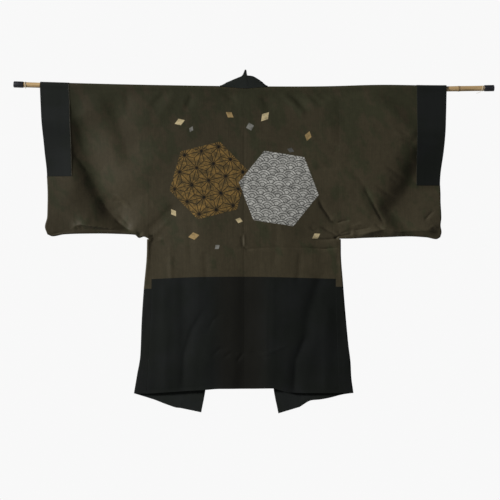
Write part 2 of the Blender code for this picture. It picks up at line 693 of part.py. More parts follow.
def collar_neck() -> list[list[Vector]]:
    """The collar's rows around the neck, from the left front to the right."""
    rows = []
    for station in NECK_STATIONS:
        seam = Vector((station.seam_x, station.seam_y, station.seam_z))
        free = Vector((station.free_x, station.free_y, station.free_z))
        rows.append([seam.lerp(free, column / COLLAR_COLUMNS) for column in range(COLLAR_COLUMNS + 1)])
    return rows


def collar() -> None:
    """The collar: one long strip up the left front, around the neck and down the right front."""
    rows = collar_front(LEFT) + collar_neck() + collar_front(RIGHT)[::-1]
    grid = bent_grid(COLLAR_COLUMNS, len(rows) - 1, lambda column, row: rows[row][column], False)
    bmesh.ops.reverse_faces(grid, faces=grid.faces)
    cloth_object("collar", grid, COLLAR_CLOTH, OUTER)


def tube(name: str, points: list[Vector], radius: float, finish: tuple, sides: int = 4) -> bpy.types.Object:
    """A round bar along a line of points, with closed ends."""
    curve = bpy.data.curves.new(name, "CURVE")
    curve.dimensions = "3D"
    curve.bevel_depth = radius
    curve.bevel_resolution = sides
    curve.use_fill_caps = True
    spline = curve.splines.new("POLY")
    spline.points.add(len(points) - 1)
    for knot, point in zip(spline.points, points):
        knot.co = (*point, 1.0)
    return add_object(name, curve, finish)


def fastening_loop(side: Side) -> None:
    """The small cord loop on the collar's free edge that a tie hooks into."""
    points = []
    for step in range(LOOP_STEPS + 1):
        angle = math.pi * step / LOOP_STEPS
        z = LOOP_Z + LOOP_RADIUS * math.cos(angle)
        free_x = x_at(side.collar_free, z)
        y = front_point(free_x, z).y + COLLAR_CLOTH / 2.0
        points.append(Vector((free_x - side.sign * (LOOP_GAP + LOOP_RADIUS * math.sin(angle)), y, z)))
    tube(f"loop_{side.name}", points, LOOP_CORD_RADIUS, OUTER, sides=2)


def rod_point(x: float) -> Vector:
    """A point of the rod's axis."""
    return Vector((x, 0.0, rod_z(x)))


def rod() -> None:
    """The bamboo cane and the two caps on its ends."""
    steps = ROD_POINTS - 1
    xs = [lerp(ROD_LEFT_END, ROD_RIGHT_END, step / steps) for step in range(ROD_POINTS)]
    tube("rod", [rod_point(x) for x in xs], ROD_RADIUS, BAMBOO)
    for name, end_x, away in (("left", ROD_LEFT_END, -1), ("right", ROD_RIGHT_END, 1)):
        direction = (rod_point(end_x) - rod_point(end_x - away * 0.01)).normalized()
        middle = rod_point(end_x) + direction * (SEAM_GAP + CAP_LENGTH / 2.0)
        cap = bmesh.new()
        bmesh.ops.create_cone(
            cap, cap_ends=True, segments=20, radius1=CAP_RADIUS, radius2=CAP_RADIUS, depth=CAP_LENGTH
        )
        mesh = bpy.data.meshes.new(f"rod_cap_{name}")
        cap.to_mesh(mesh)
        cap.free()
        made = add_object(f"rod_cap_{name}", mesh, CAP)
        made.location = middle
        made.rotation_mode = "QUATERNION"
        made.rotation_quaternion = direction.to_track_quat("Z", "Y")


def build() -> None:
    """Build the whole jacket on its rod."""
    clear_scene()
    for side in SIDES:
        body_lining(side)
        hem_panel(side, front=False)
        hem_panel(side, front=True)
        gore_lining(side)
        gore_hem(side)
        sleeve(side)
        facing(side)
        fastening_loop(side)
    collar()
    rod()


build()
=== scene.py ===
"""Looks of a men's haori jacket that hangs inside out on a bamboo rod.

Metres, +Z up, in the frame of the CAD model: the origin is on the rod's axis at the jacket's centre
back seam, the back faces -Y and the fronts face +Y. "Left" is the -X side and "right" the +X side.

Each cut piece is a fine sheet on the form of the CAD solid of the same name. The sheet adds what the
plain solid leaves out: narrow creases, puckers beside the seams, pressed seam edges and a folded rim.
"""

import logging
import math
from dataclasses import dataclass, replace
from enum import Enum
from typing import Callable, NamedTuple, Optional, Sequence, Union

import bmesh
import bpy
import numpy as np
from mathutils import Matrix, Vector


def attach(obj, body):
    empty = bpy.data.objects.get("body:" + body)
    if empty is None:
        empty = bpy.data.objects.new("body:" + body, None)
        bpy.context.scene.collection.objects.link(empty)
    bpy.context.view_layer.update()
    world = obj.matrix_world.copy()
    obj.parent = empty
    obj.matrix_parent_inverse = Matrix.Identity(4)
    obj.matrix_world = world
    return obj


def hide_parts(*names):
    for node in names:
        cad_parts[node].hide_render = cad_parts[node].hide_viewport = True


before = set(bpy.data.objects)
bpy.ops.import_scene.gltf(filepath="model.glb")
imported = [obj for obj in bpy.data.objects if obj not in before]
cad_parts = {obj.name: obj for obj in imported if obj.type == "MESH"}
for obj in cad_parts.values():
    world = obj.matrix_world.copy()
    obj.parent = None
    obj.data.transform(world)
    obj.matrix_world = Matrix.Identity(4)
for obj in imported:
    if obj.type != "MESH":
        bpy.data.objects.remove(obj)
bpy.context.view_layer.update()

log = logging.getLogger("haori")

Array = np.ndarray
Number = Union[float, Array]
Piece = bpy.types.Object
Material = bpy.types.Material
Link = bpy.types.NodeSocket

# --- The form that the cloth hangs in ---

PER_METRE = 1000.0        # millimetres in a metre

CLOTH = 0.0012            # lining and outer cloth, worn together as one wall
FACING_CLOTH = 0.0006
COLLAR_CLOTH = 0.0026     # the collar is folded double
SEAM_GAP = 0.0003
SEAM_LAP = 0.0010         # how far sewn edges go past each other, so that a seam is closed
SEAM_DIP = 0.00016        # how much lower the edge underneath lies
SEAM_FADE = 0.030         # seams come up from nothing below the fold over the rod
DIP_WIDTH = 0.0030
PUCKER_RISE = 0.00008
PUCKER_REACH = 0.012      # how far from a seam its puckers die out
PUCKER_LENGTH = 0.016
CELL = 0.0038             # spacing of the finished sheets' grids
FINE_CELL = 0.0021        # the same, where the small creases lie
SEAM_ROWS = (0.0010, 0.0024)    # distances of the extra grid lines beside a seam
SETTLE_ROUNDS = 6
WELD = 0.00002            # points of a sheet that are as close as this become one

ROD_RADIUS = 0.0084
ROD_LEFT_END = -0.7067
ROD_RIGHT_END = 0.7712
ROD_LIFT = 0.0010
ROD_TILT = -0.0089
ROD_BEND = 0.0178
CAP_RADIUS = 0.0100
CAP_LENGTH = 0.0320

SHOULDER_RADIUS = 0.0093  # inside of the fold over the rod
SHOULDER_LIFT = 0.6       # share of a seam's lift that is left on that fold
HANG_DEPTH = 0.0130       # how far each wall hangs from the jacket's middle plane
HANG_DROP = 0.12          # how far below the fold it has reached that depth
HEM_DEPTH = 0.0055        # the same at the hem, where back and fronts come together
HEM_CLOSING = (-0.860, -0.960)    # heights between which they do
EDGE_RADIUS = 0.0025      # half of the hollow along a sewn or folded edge
EDGE_FADE = 0.200         # how far from such an edge the walls stand fully apart
ROD_DENT = 0.0010         # the cloth falls in below the rod
DENT_TOP = 0.012
DENT_END = 0.060
RELIEF_FADE = 0.035       # soft folds die out towards the rod and towards closed edges
RELIEF_EDGE = 0.012
CREASE_FADE = 0.012       # the same for pressed creases
CREASE_EDGE = 0.004
FACING_FADE = 0.030
WIDE_FOLD = 0.060         # a fold as wide as this follows a smooth curve
CURVE_STEP = 0.006
SLACK_X = 0.44            # where the right shoulder stands up off the rod
SLACK_RISE = 0.0050
SLACK_WIDTH = 0.14

ARMPIT_Z = -0.4783
NECK_X = 0.0780
COLLAR_TOP_Z = -0.0500
WALLS_APART = 0.0030
LOOP_Z = -0.3600
LOOP_RADIUS = 0.0060
LOOP_GAP = 0.0006


class Spot(NamedTuple):
    """A point of an outline, seen from the back."""

    x: float
    z: float


Outline = tuple[Spot, ...]


def outline(*pairs: tuple[float, float]) -> Outline:
    """Return an outline made of (x, z) pairs in millimetres."""
    return tuple(Spot(x / PER_METRE, z / PER_METRE) for x, z in pairs)


@dataclass(frozen=True)
class Crease:
    """A crease of the cloth along a path.

    Attributes:
        near: How far the crease reaches on the -X side of a path that runs down.
        far: How far it reaches on the other side.
        rise: Height of its middle, outward, or inward if negative.
        path: The line that it follows.
        sharp: Whether its middle is a pressed edge and not a round one.
        taper: Share of its length over which each end dies out.
    """

    near: float
    far: float
    rise: float
    path: Outline
    sharp: bool = False
    taper: float = 0.0

    def height(self, x: Array, z: Array) -> Array:
        """Return how far the crease moves the cloth at points.

        Args:
            x: The points' x.
            z: Their height.

        Returns:
            How far each goes outward.
        """
        distance, share, beyond = along_path(x, z, self.path)
        reach = lerp(self.near, self.far, beyond)
        if self.sharp:
            shape = np.exp(-distance / reach) * (1.0 - np.exp(-3.0 * reach / (distance + 1e-9)))
        else:
            shape = np.exp(-((distance / reach) ** 2))
        if self.taper:
            shape = shape * smoothstep(-0.02, self.taper, np.minimum(share, 1.0 - share))
        return self.rise * shape


@dataclass(frozen=True)
class Side:
    """The outlines of one side of the jacket; each runs down, or outward from the middle."""

    name: str
    sign: int
    armhole_x: float
    facing_z: float
    gore_black_z: float
    sleeve_end: Outline
    facing_seam: Outline
    sleeve_bottom: Outline
    body_side: Outline
    gore_seam: Outline
    front_hem: Outline
    collar_seam: Outline
    collar_free: Outline


LEFT = Side(
    name="left",
    sign=-1,
    armhole_x=-0.3060,
    facing_z=-0.2780,
    gore_black_z=-0.6390,
    sleeve_end=outline(
        (-655, 21), (-650.8, -79), (-641.8, -191), (-633.5, -265), (-630.2, -339), (-631.5, -406),
        (-638.8, -440), (-631, -464),
    ),
    facing_seam=outline((-562, 20), (-553, -278), (-547, -464)),
    sleeve_bottom=outline(
        (-631, -464), (-614, -470.8), (-576, -464.4), (-525, -462.4), (-464, -461.8), (-393, -463.4),
        (-349, -466.2), (-336, -476.2), (-321, -472), (-306, -478.3),
    ),
    body_side=outline(
        (-311, -480), (-311.6, -521), (-321.2, -638), (-328.2, -745), (-332.5, -852), (-343.5, -919),
        (-353, -975),
    ),
    gore_seam=outline((-306, -478.3), (-296.5, -608), (-313, -972)),
    front_hem=outline((-353, -975.2), (-289, -995.5), (-245, -1012.4), (-215, -1021.8), (-201, -1023)),
    collar_seam=outline((-78.5, 10), (-96, -140), (-201, -1023)),
    collar_free=outline((-38, -50), (-33, -140), (-123, -961), (-137, -1036.8)),
)

RIGHT = Side(
    name="right",
    sign=1,
    armhole_x=0.3070,
    facing_z=-0.3070,
    gore_black_z=-0.6330,
    sleeve_end=outline(
        (651.5, 13), (647.6, -111), (643, -191), (632.8, -294), (632.2, -355), (634.5, -410),
        (632, -436), (635, -457), (631, -473),
    ),
    facing_seam=outline((554.6, 13), (555.5, -307), (553, -468)),
    sleeve_bottom=outline(
        (631, -473), (618, -480), (586, -474.2), (530, -471.2), (453, -473.8), (387, -476),
        (336, -478.2), (307, -478.3),
    ),
    body_side=outline(
        (311.6, -480), (311.8, -521), (318.8, -623), (327, -725), (336.2, -822), (343, -878),
        (345, -919), (352, -973.6),
    ),
    gore_seam=outline((307, -478.3), (295.5, -607), (306, -970)),
    front_hem=outline(
        (352, -973.8), (319, -978.6), (275, -989.8), (243, -995.6), (218, -998), (180, -1019),
    ),
    collar_seam=outline((81, 10), (98, -140), (180, -1019)),
    collar_free=outline((40, -50), (34, -140), (95, -955), (111, -1040)),
)

SIDES = (LEFT, RIGHT)

NECK_EDGE = outline(
    (-78, 7.6), (-58.5, 6.8), (-39, 5), (-13, 2.4), (6, 1.6), (25, 2.6), (45, 4.4), (64, 6), (78, 6.6),
)
TURN_UP = outline((-297, -608), (-132, -601), (4, -600), (295, -607))
BACK_HEM = outline(
    (-353, -975.2), (-313, -975.2), (-252, -971.6), (-191, -967.6), (-124, -963.4), (-76, -960.2),
    (20, -960), (93, -958.8), (116, -964.6), (148, -971.6), (199, -973.6), (305, -973.8), (352, -973.8),
)


def folds(*rows: tuple, sharp: bool = False) -> tuple[Crease, ...]:
    """Return folds made of rows of numbers.

    Args:
        rows: Both reaches and the rise in millimetres, the taper, and the path's (x, z) pairs in
            millimetres.
        sharp: Whether they are pressed creases and not soft folds.

    Returns:
        The folds, in metres.
    """
    made = []
    for near, far, rise, taper, *path in rows:
        size = (near / PER_METRE, far / PER_METRE, rise / PER_METRE)
        made.append(Crease(*size, outline(*path), sharp, taper))
    return tuple(made)


# The soft folds; the widest are in the CAD solids too
BACK_FOLDS = folds(
    # Left sleeve: the long slanting trough from the facing to the armpit, and the folds beside it
    (44, 110, -4.0, 0.0, (-556, -163), (-342, -470)),
    (50, 85, -15.0, 0.25, (-556, -99), (-515, -172), (-489, -243), (-470, -307), (-444, -367), (-412, -415),
     (-364, -463)),
    (22, 40, -3.6, 0.25, (-511, -227), (-483, -291), (-460, -342), (-439, -383), (-406, -423),
     (-351, -470)),
    (34, 60, -6.5, 0.35, (-444, 17), (-415, -54), (-393, -118), (-374, -179), (-355, -230), (-335, -278)),
    (10, 16, -1.0, 0.0, (-383, 4), (-371, -44)),
    (20, 40, -4.8, 0.4, (-566, -3), (-543, -73), (-524, -124), (-502, -195)),
    (34, 30, -3.0, 0.5, (-543, -303), (-518, -355), (-492, -412)),
    # Left armpit and shoulder blade
    (12, 34, -1.8, 0.0, (-233, -383), (-265, -412), (-297, -444)),
    (8, 8, 0.8, 0.0, (-246, -425), (-287, -463)),
    (10, 20, -1.4, 0.4, (-249, -3), (-271, -31), (-307, -67)),
    (9, 16, -1.6, 0.4, (-159, -3), (-172, -31), (-191, -79)),
    (14, 18, 1.0, 0.0, (-217, -3), (-268, -86)),
    # Below the neck
    (9, 20, -2.6, 0.4, (-89, 4), (-54, -17), (-19, -41)),
    (12, 24, -1.8, 0.4, (49, 1), (65, -28), (90, -86)),
    # Right shoulder
    (10, 12, 1.6, 0.0, (119, -9), (151, -38), (186, -73)),
    (10, 26, -3.4, 0.4, (129, 1), (164, -28), (209, -76)),
    (8, 14, -2.0, 0.4, (193, 4), (215, -22), (260, -60)),
    (7, 13, -1.8, 0.4, (221, -3), (250, -22), (282, -38)),
    (18, 30, -1.2, 0.3, (301, -15), (311, -92), (305, -182)),
    (8, 12, -1.0, 0.0, (237, -156), (295, -188)),
    (9, 12, -1.0, 0.0, (244, -252), (292, -246)),
    # Right sleeve
    (40, 24, 4.2, 0.1, (378, 23), (429, -28), (468, -67), (506, -105), (557, -153)),
    (10, 16, -0.8, 0.0, (429, -124), (474, -143)),
    (44, 90, -13.5, 0.15, (609, -175), (583, -223), (557, -268), (535, -316), (503, -361), (471, -396),
     (445, -425)),
    (9, 14, -0.7, 0.0, (327, -246), (375, -300)),
    (10, 16, -1.0, 0.0, (388, -335), (417, -399)),
    # Along the bottom of the right sleeve
    (34, 40, 3.0, 0.15, (301, -476), (372, -470), (452, -465), (548, -463), (628, -470)),
    # Lower back, lining
    (9, 14, -0.8, 0.4, (-172, -371), (-172, -515), (-166, -601)),
    (8, 12, -0.9, 0.0, (-124, -531), (-121, -601)),
    (7, 7, 0.9, 0.0, (-233, -540), (-233, -601)),
    (9, 14, -0.9, 0.4, (103, -393), (103, -515), (90, -601)),
    (8, 12, -0.9, 0.0, (180, -534), (173, -604)),
    # Lower back, outer cloth
    (18, 30, -1.7, 0.0, (-195, -620), (-191, -803), (-198, -956)),
    (7, 14, -1.1, 0.2, (-121, -694), (-169, -774), (-191, -847), (-198, -969)),
    (26, 60, -3.2, 0.0, (7, -623), (7, -835), (-3, -956)),
    (18, 24, -2.2, 0.0, (244, -614), (209, -713), (199, -799), (167, -867), (161, -969)),
    (6, 10, -0.8, 0.1, (199, -787), (167, -867), (161, -969)),
    (18, 18, 1.2, 0.0, (-252, -643), (-252, -956)),
    (20, 20, 1.0, 0.0, (-111, -803), (-121, -956)),
    (22, 22, 1.2, 0.0, (87, -643), (77, -956)),
    (7, 7, -0.3, 0.0, (84, -630), (81, -841)),
    (18, 18, 1.1, 0.0, (269, -707), (263, -956)),
)
FRONT_FOLDS = folds(
    (15, 24, -3.0, 0.0, (-470, -40), (-420, -230)),
    (16, 26, -4.5, 0.0, (-540, -250), (-480, -350), (-400, -420)),
    (18, 29, 2.5, 0.0, (-590, -330), (-560, -420)),
    (16, 26, -3.0, 0.0, (-260, -40), (-230, -300)),
    (18, 29, -4.0, 0.0, (-190, -420), (-215, -640), (-250, -930)),
    (16, 26, 2.5, 0.0, (-245, -520), (-300, -900)),
    (16, 26, -3.0, 0.0, (450, -40), (430, -240)),
    (18, 29, -4.5, 0.0, (530, -240), (480, -330), (420, -400)),
    (18, 29, 2.5, 0.0, (590, -330), (545, -430)),
    (15, 24, -3.0, 0.0, (250, -50), (225, -320)),
    (18, 29, -4.0, 0.0, (205, -400), (225, -640), (240, -930)),
    (16, 26, 2.5, 0.0, (250, -500), (295, -900)),
)

# The roll along the bottom of the left sleeve: a broad one with a narrow one on its top
LEFT_ROLL = (
    (-556, -449), (-537, -436), (-518, -433), (-492, -438), (-460, -442), (-428, -446), (-396, -451),
    (-371, -456),
)

# The pressed creases, which only the sheets have
BACK_CREASES = folds(
    # Left sleeve
    (6, 10, -1.6, 0.2, (-550, -204), (-527, -230), (-499, -271)),
    (9, 24, 9.5, 0.3, *LEFT_ROLL),
    (5, 11, 2.6, 0.3, *LEFT_ROLL),
    (12, 30, -2.4, 0.2, (-467, -342), (-438, -387), (-406, -422), (-358, -460)),
    (3, 3, -2.0, 0.2, (-627, -467), (-595, -460), (-556, -457)),
    # Left armpit
    (5, 10, -3.2, 0.3, (-419, -412), (-403, -428), (-387, -440), (-364, -454)),
    (4, 7, -1.9, 0.35, (-412, -395), (-396, -408), (-380, -424), (-361, -444)),
    (5, 5, 1.6, 0.35, (-431, -339), (-406, -339), (-377, -361), (-358, -390)),
    (5, 5, -1.6, 0.35, (-428, -351), (-399, -358), (-380, -383)),
    (3, 3, -0.3, 0.35, (-316, -316), (-317, -457)),
    (3, 3, -0.3, 0.35, (-300, -323), (-297, -438)),
    (4, 4, -3.2, 0.35, (-348, -467), (-313, -478), (-294, -473)),
    (4, 4, -3.0, 0.35, (-313, -473), (-291, -470), (-259, -479)),
    (4, 4, 1.0, 0.35, (-310, -483), (-281, -486), (-255, -483)),
    # Right armpit
    (4, 10, -3.6, 0.35, (234, -339), (250, -377), (266, -399), (279, -420), (301, -428)),
    (4, 4, -3.2, 0.2, (276, -423), (301, -428), (317, -422), (340, -419)),
    (4, 4, -3.6, 0.35, (241, -436), (269, -452), (285, -460), (308, -475)),
    (4, 4, -3.8, 0.1, (289, -479), (305, -471), (324, -467), (349, -462)),
    (3, 3, -2.0, 0.1, (298, -455), (311, -463), (330, -455), (349, -457)),
    (4, 4, -4.0, 0.4, (215, -480), (263, -481), (308, -478)),
    (4, 4, -4.0, 0.4, (189, -505), (250, -511), (311, -508)),
    (4, 4, -1.4, 0.35, (209, -438), (225, -451), (241, -454)),
    # Across the small of the back
    (30, 26, 1.3, 0.3, (218, -470), (218, -601)),
    (28, 20, 1.3, 0.3, (-236, -476), (-239, -601)),
    (3, 5, -1.3, 0.3, (-57, -505), (20, -511), (103, -506), (180, -509), (250, -507)),
    (3, 3, 1.5, 0.2, (1, -462), (3, -505)),
    (3, 3, -2.4, 0.2, (-6, -467), (-4, -508)),
    (3, 3, -2.2, 0.35, (-3, -499), (10, -513), (29, -515)),
    (3, 14, -0.5, 0.1, (-1, -131), (-1, -601)),
    # Right sleeve
    (4, 6, -0.6, 0.35, (324, -227), (353, -265), (378, -297), (404, -345)),
    (4, 8, -3.4, 0.25, (378, -303), (404, -348), (429, -396), (455, -444)),
    (3, 5, -2.4, 0.45, (481, -121), (516, -143), (548, -163)),
    (4, 6, -2.8, 0.45, (497, -156), (525, -166), (551, -179)),
    (4, 6, -2.8, 0.45, (477, -217), (516, -227), (551, -236)),
    (5, 7, -2.8, 0.45, (442, -236), (487, -268), (525, -287)),
    (5, 7, -2.8, 0.45, (413, -303), (461, -335), (497, -351)),
    (5, 7, -1.3, 0.35, (465, -281), (497, -303)),
    (10, 13, 8.0, 0.15, (362, -467), (385, -463), (417, -455), (452, -448), (477, -453), (500, -456),
     (532, -454), (586, -452), (625, -457)),
    (4, 4, -2.8, 0.2, (330, -447), (359, -451), (407, -444)),
    (5, 5, 2.0, 0.35, (346, -438), (378, -431), (410, -441)),
    (3, 4, -2.4, 0.35, (417, -428), (436, -444), (455, -457)),
    (4, 5, -2.8, 0.35, (577, -425), (599, -399), (615, -387)),
    (4, 4, 2.4, 0.35, (586, -451), (609, -438), (628, -444)),
    # Lower back, outer cloth
    (4, 5, -1.2, 0.35, (-105, -857), (-76, -831), (-41, -828)),
    (4, 5, -1.4, 0.35, (-70, -863), (-41, -844), (-12, -851)),
    (4, 5, -1.6, 0.35, (-25, -876), (-9, -854), (1, -841)),
    (4, 5, -1.2, 0.35, (10, -841), (45, -847), (74, -870)),
    (4, 6, 1.1, 0.35, (42, -857), (97, -838), (154, -815)),
    (4, 5, -0.8, 0.35, (-70, -716), (-99, -739), (-118, -780)),
    sharp=True,
)
FRONT_CREASES = folds(
    (7, 7, -2.8, 0.35, (-430, -345), (-390, -405), (-350, -455)),
    (6, 6, -2.0, 0.35, (-290, -445), (-240, -395)),
    (7, 7, -2.6, 0.35, (365, -290), (405, -350), (445, -415)),
    (6, 6, -2.2, 0.35, (250, -375), (300, -460)),
    sharp=True,
)


def lerp(start: Number, end: Number, part: Number) -> Number:
    """Blend from start to end."""
    return start + (end - start) * part


def smoothstep(low: float, high: float, value: Number) -> Number:
    """Rise smoothly from 0 at low to 1 at high."""
    part = np.clip((value - low) / (high - low), 0.0, 1.0)
    return part * part * (3.0 - 2.0 * part)


def read_smooth(keys: Sequence[float], values: Sequence[float], at: Number) -> Array:
    """Read a short table along a smooth line that never overshoots its rows.

    Args:
        keys: The table's keys, in any order.
        values: The value at each key.
        at: Where to read it; past the ends the end values hold.

    Returns:
        The values there.
    """
    order = np.argsort(keys)
    key, value = np.asarray(keys, float)[order], np.asarray(values, float)[order]
    gap = np.diff(key)
    slope = np.diff(value) / gap
    tangent = np.concatenate(([slope[0]], np.zeros(len(key) - 2), [slope[-1]]))
    if len(key) > 2:
        before, after = slope[:-1], slope[1:]
        same = before * after > 0.0
        safe = np.where(same, before + after, 1.0)
        tangent[1:-1] = np.where(same, 2.0 * before * after / safe, 0.0)
    at = np.clip(at, key[0], key[-1])
    cell = np.clip(np.searchsorted(key, at) - 1, 0, len(key) - 2)
    part = (at - key[cell]) / gap[cell]
    square, cube = part**2, part**3
    return (
        value[cell] * (2 * cube - 3 * square + 1)
        + value[cell + 1] * (3 * square - 2 * cube)
        + gap[cell] * tangent[cell] * (cube - 2 * square + part)
        + gap[cell] * tangent[cell + 1] * (cube - square)
    )


def travelled(points: Array) -> Array:
    """Length of a line of points up to each of them."""
    return np.concatenate(([0.0], np.cumsum(np.linalg.norm(np.diff(points, axis=0), axis=1))))


def x_at(line: Outline, z: Number) -> Array:
    """The x of an upright outline at height z."""
    return read_smooth([spot.z for spot in line], [spot.x for spot in line], z)


def z_at(line: Outline, x: Number) -> Array:
    """The height of a level outline at x."""
    return read_smooth([spot.x for spot in line], [spot.z for spot in line], x)


def rod_z(x: Number) -> Number:
    """Height of the rod's axis."""
    return ROD_LIFT + ROD_TILT * x + ROD_BEND * x * x


def fold_z(x: Number) -> Number:
    """Height of the middle of the fold that lies over the rod."""
    return rod_z(x) + SLACK_RISE * np.exp(-(((x - SLACK_X) / SLACK_WIDTH) ** 2))


def along_path(x: Array, z: Array, path: Outline) -> tuple[Array, Array, Array]:
    """Measure points against a path.

    Args:
        x: The points' x.
        z: The points' z.
        path: The path's spots.

    Returns:
        Each point's distance from the path, the share of the path's length that lies before it, and
        how far it lies to the +X side of a path that runs down: 0 to 1, in between past the ends.
    """
    near = np.full(np.shape(x), np.inf)
    share = np.zeros(np.shape(x))
    beyond = np.zeros(np.shape(x))
    lengths = [math.dist(start, end) for start, end in zip(path, path[1:])]
    done = 0.0
    for start, end, length in zip(path, path[1:], lengths):
        run, rise = end.x - start.x, end.z - start.z
        part = np.clip(((x - start.x) * run + (z - start.z) * rise) / length**2, 0.0, 1.0)
        distance = np.hypot(x - start.x - run * part, z - start.z - rise * part)
        nearer = distance < near
        near = np.where(nearer, distance, near)
        share = np.where(nearer, (done + part * length) / sum(lengths), share)
        across = (run * (z - start.z) - rise * (x - start.x)) / (length * np.maximum(distance, 1e-9))
        beyond = np.where(nearer, 0.5 + 0.5 * across, beyond)
        done += length
    return near, share, beyond


@dataclass(frozen=True)
class Wobble:
    """Soft unevenness of the cloth, the same in each run.

    Attributes:
        seed: Chooses the pattern.
        length: Mean length of a wave.
        waves: How many waves are added up.
    """

    seed: int
    length: float
    waves: int = 10

    def __call__(self, x: Number, z: Number) -> Array:
        """Return its height at points, mostly within -1 and 1.

        Args:
            x: The points' x.
            z: Their height.

        Returns:
            A height for each point.
        """
        draw = np.random.default_rng(self.seed)
        total = 0.0
        for _ in range(self.waves):
            angle, phase = draw.uniform(0.0, math.tau, 2)
            number = math.tau / (self.length * draw.uniform(0.6, 1.8))
            total = total + np.sin(number * (x * math.cos(angle) + z * math.sin(angle)) + phase)
        return total / math.sqrt(2.0 * self.waves)


class Wall(Enum):
    """The back or the front of the jacket, by the side that it lies on."""

    BACK = -1
    FRONT = 1


@dataclass(frozen=True)
class HangingForm:
    """The form that all the pieces share: two walls that hang from the fold over the rod."""

    soft: dict[Wall, tuple[Crease, ...]]
    pressed: dict[Wall, tuple[Crease, ...]]
    sway: Wobble = Wobble(seed=11, length=0.110)
    sway_rise: float = 0.0008
    sway_slant: float = 0.6
    ripple: Wobble = Wobble(seed=23, length=0.032)
    ripple_rise: float = 0.00010

    @staticmethod
    def closed_edges(side: Side) -> tuple[Outline, ...]:
        """The lines along which back and front meet: sleeve end, sleeve bottom and body side."""
        start = Spot(float(x_at(side.sleeve_end, side.facing_z)), side.facing_z)
        sewn_end = [spot for spot in side.sleeve_end if spot.z < side.facing_z]
        return (start, *sewn_end), side.sleeve_bottom, (side.sleeve_bottom[-1], *side.body_side)

    def edge_distances(self, x: Array, z: Array) -> list[Array]:
        """Distances from each of the lines along which back and front meet.

        Args:
            x: The points' x.
            z: Their height.

        Returns:
            The distances from the sleeve ends, sleeve bottoms and body sides.
        """
        left, right = ([along_path(x, z, line)[0] for line in self.closed_edges(side)] for side in SIDES)
        return [
            np.maximum(np.where(x < 0.0, *pair) - EDGE_RADIUS - CLOTH, 0.0) for pair in zip(left, right)
        ]

    @staticmethod
    def fold_x(x: Array, z: Array) -> Array:
        """Where to read the folds: the doubled cloth of a cuff stays level across its width.

        Args:
            x: The points' x.
            z: Their height.

        Returns:
            The x at which the folds are read.
        """
        for side in SIDES:
            seam = x_at(side.facing_seam, z)
            level = np.minimum(side.sign * x, side.sign * seam) * side.sign
            below = smoothstep(0.0, FACING_FADE, side.facing_z - z)
            x = np.where(side.sign * x > 0.0, lerp(level, x, below), x)
        return x

    def wall_depth(self, wall: Wall, x: Array, z: Array) -> Array:
        """How far a wall's inner face lies outward of the jacket's middle plane.

        Args:
            wall: Back or front.
            x: The points' x.
            z: Their height.

        Returns:
            A depth for each point.
        """
        drop = fold_z(x) - z
        end, bottom, side = self.edge_distances(x, z)
        hang = lerp(SHOULDER_RADIUS, HANG_DEPTH, smoothstep(0.0, HANG_DROP, drop))
        hang = lerp(hang, HEM_DEPTH, smoothstep(*HEM_CLOSING, z))
        open_part = 1.0
        for part in (np.minimum(near / EDGE_FADE, 1.0) for near in (end, bottom, side)):
            open_part = open_part * part * (1.0 + part * (1.0 - part))
        x = self.fold_x(x, z)
        soft = sum(crease.height(x, z) for crease in self.soft[wall])
        pressed = sum(crease.height(x, z) for crease in self.pressed[wall])
        hang -= ROD_DENT * smoothstep(0.0, DENT_TOP, drop) * (1.0 - smoothstep(DENT_TOP, DENT_END, drop))
        soft += self.sway_rise * self.sway(x, z * self.sway_slant) + self.ripple_rise * self.ripple(x, z)
        from_fold = smoothstep(0.0, RELIEF_FADE, drop)
        soft *= from_fold * smoothstep(0.0, RELIEF_EDGE, bottom) * smoothstep(0.0, RELIEF_EDGE, side)
        pressed *= smoothstep(0.0, CREASE_FADE, drop)
        pressed *= smoothstep(0.0, CREASE_EDGE, np.minimum(bottom, side))
        return lerp(EDGE_RADIUS, hang, open_part) + soft + pressed

    def depth(self, wall: Wall, x: Array, z: Array) -> Array:
        """As wall_depth, but the front gives way where a deep fold of the back reaches it."""
        depth = self.wall_depth(wall, x, z)
        if wall is Wall.FRONT:
            depth = np.maximum(depth, WALLS_APART - self.wall_depth(Wall.BACK, x, z))
        return depth

    def points(self, wall: Wall, x: Array, z: Array) -> Array:
        """Points of a wall's inner face."""
        return np.stack([x, wall.value * self.depth(wall, x, z), z], axis=-1)

    @staticmethod
    def shoulder(x: Array, angle: Array) -> Array:
        """Points of the fold over the rod; angle 0 meets the back, pi the front."""
        return np.stack(
            [x, -SHOULDER_RADIUS * np.cos(angle), fold_z(x) + SHOULDER_RADIUS * np.sin(angle)], axis=-1
        )


def curved(rows: tuple[Crease, ...]) -> tuple[Crease, ...]:
    """Return folds whose wide ones follow smooth curves, as a bend would show as a line in them.

    Args:
        rows: The folds.

    Returns:
        The same folds, with more points in the paths of the wide ones.
    """
    result = []
    for crease in rows:
        if crease.near + crease.far > WIDE_FOLD and len(crease.path) > 2:
            spots = np.array(crease.path)
            along = travelled(spots)
            at = np.linspace(0.0, along[-1], 2 + int(along[-1] / CURVE_STEP))
            line = np.stack([read_smooth(along, spots[:, i], at) for i in range(2)], axis=-1)
            crease = replace(crease, path=tuple(Spot(*spot) for spot in line.tolist()))
        result.append(crease)
    return tuple(result)


FORM = HangingForm(
    soft={Wall.BACK: curved(BACK_FOLDS), Wall.FRONT: curved(FRONT_FOLDS)},
    pressed={Wall.BACK: BACK_CREASES, Wall.FRONT: FRONT_CREASES},
)


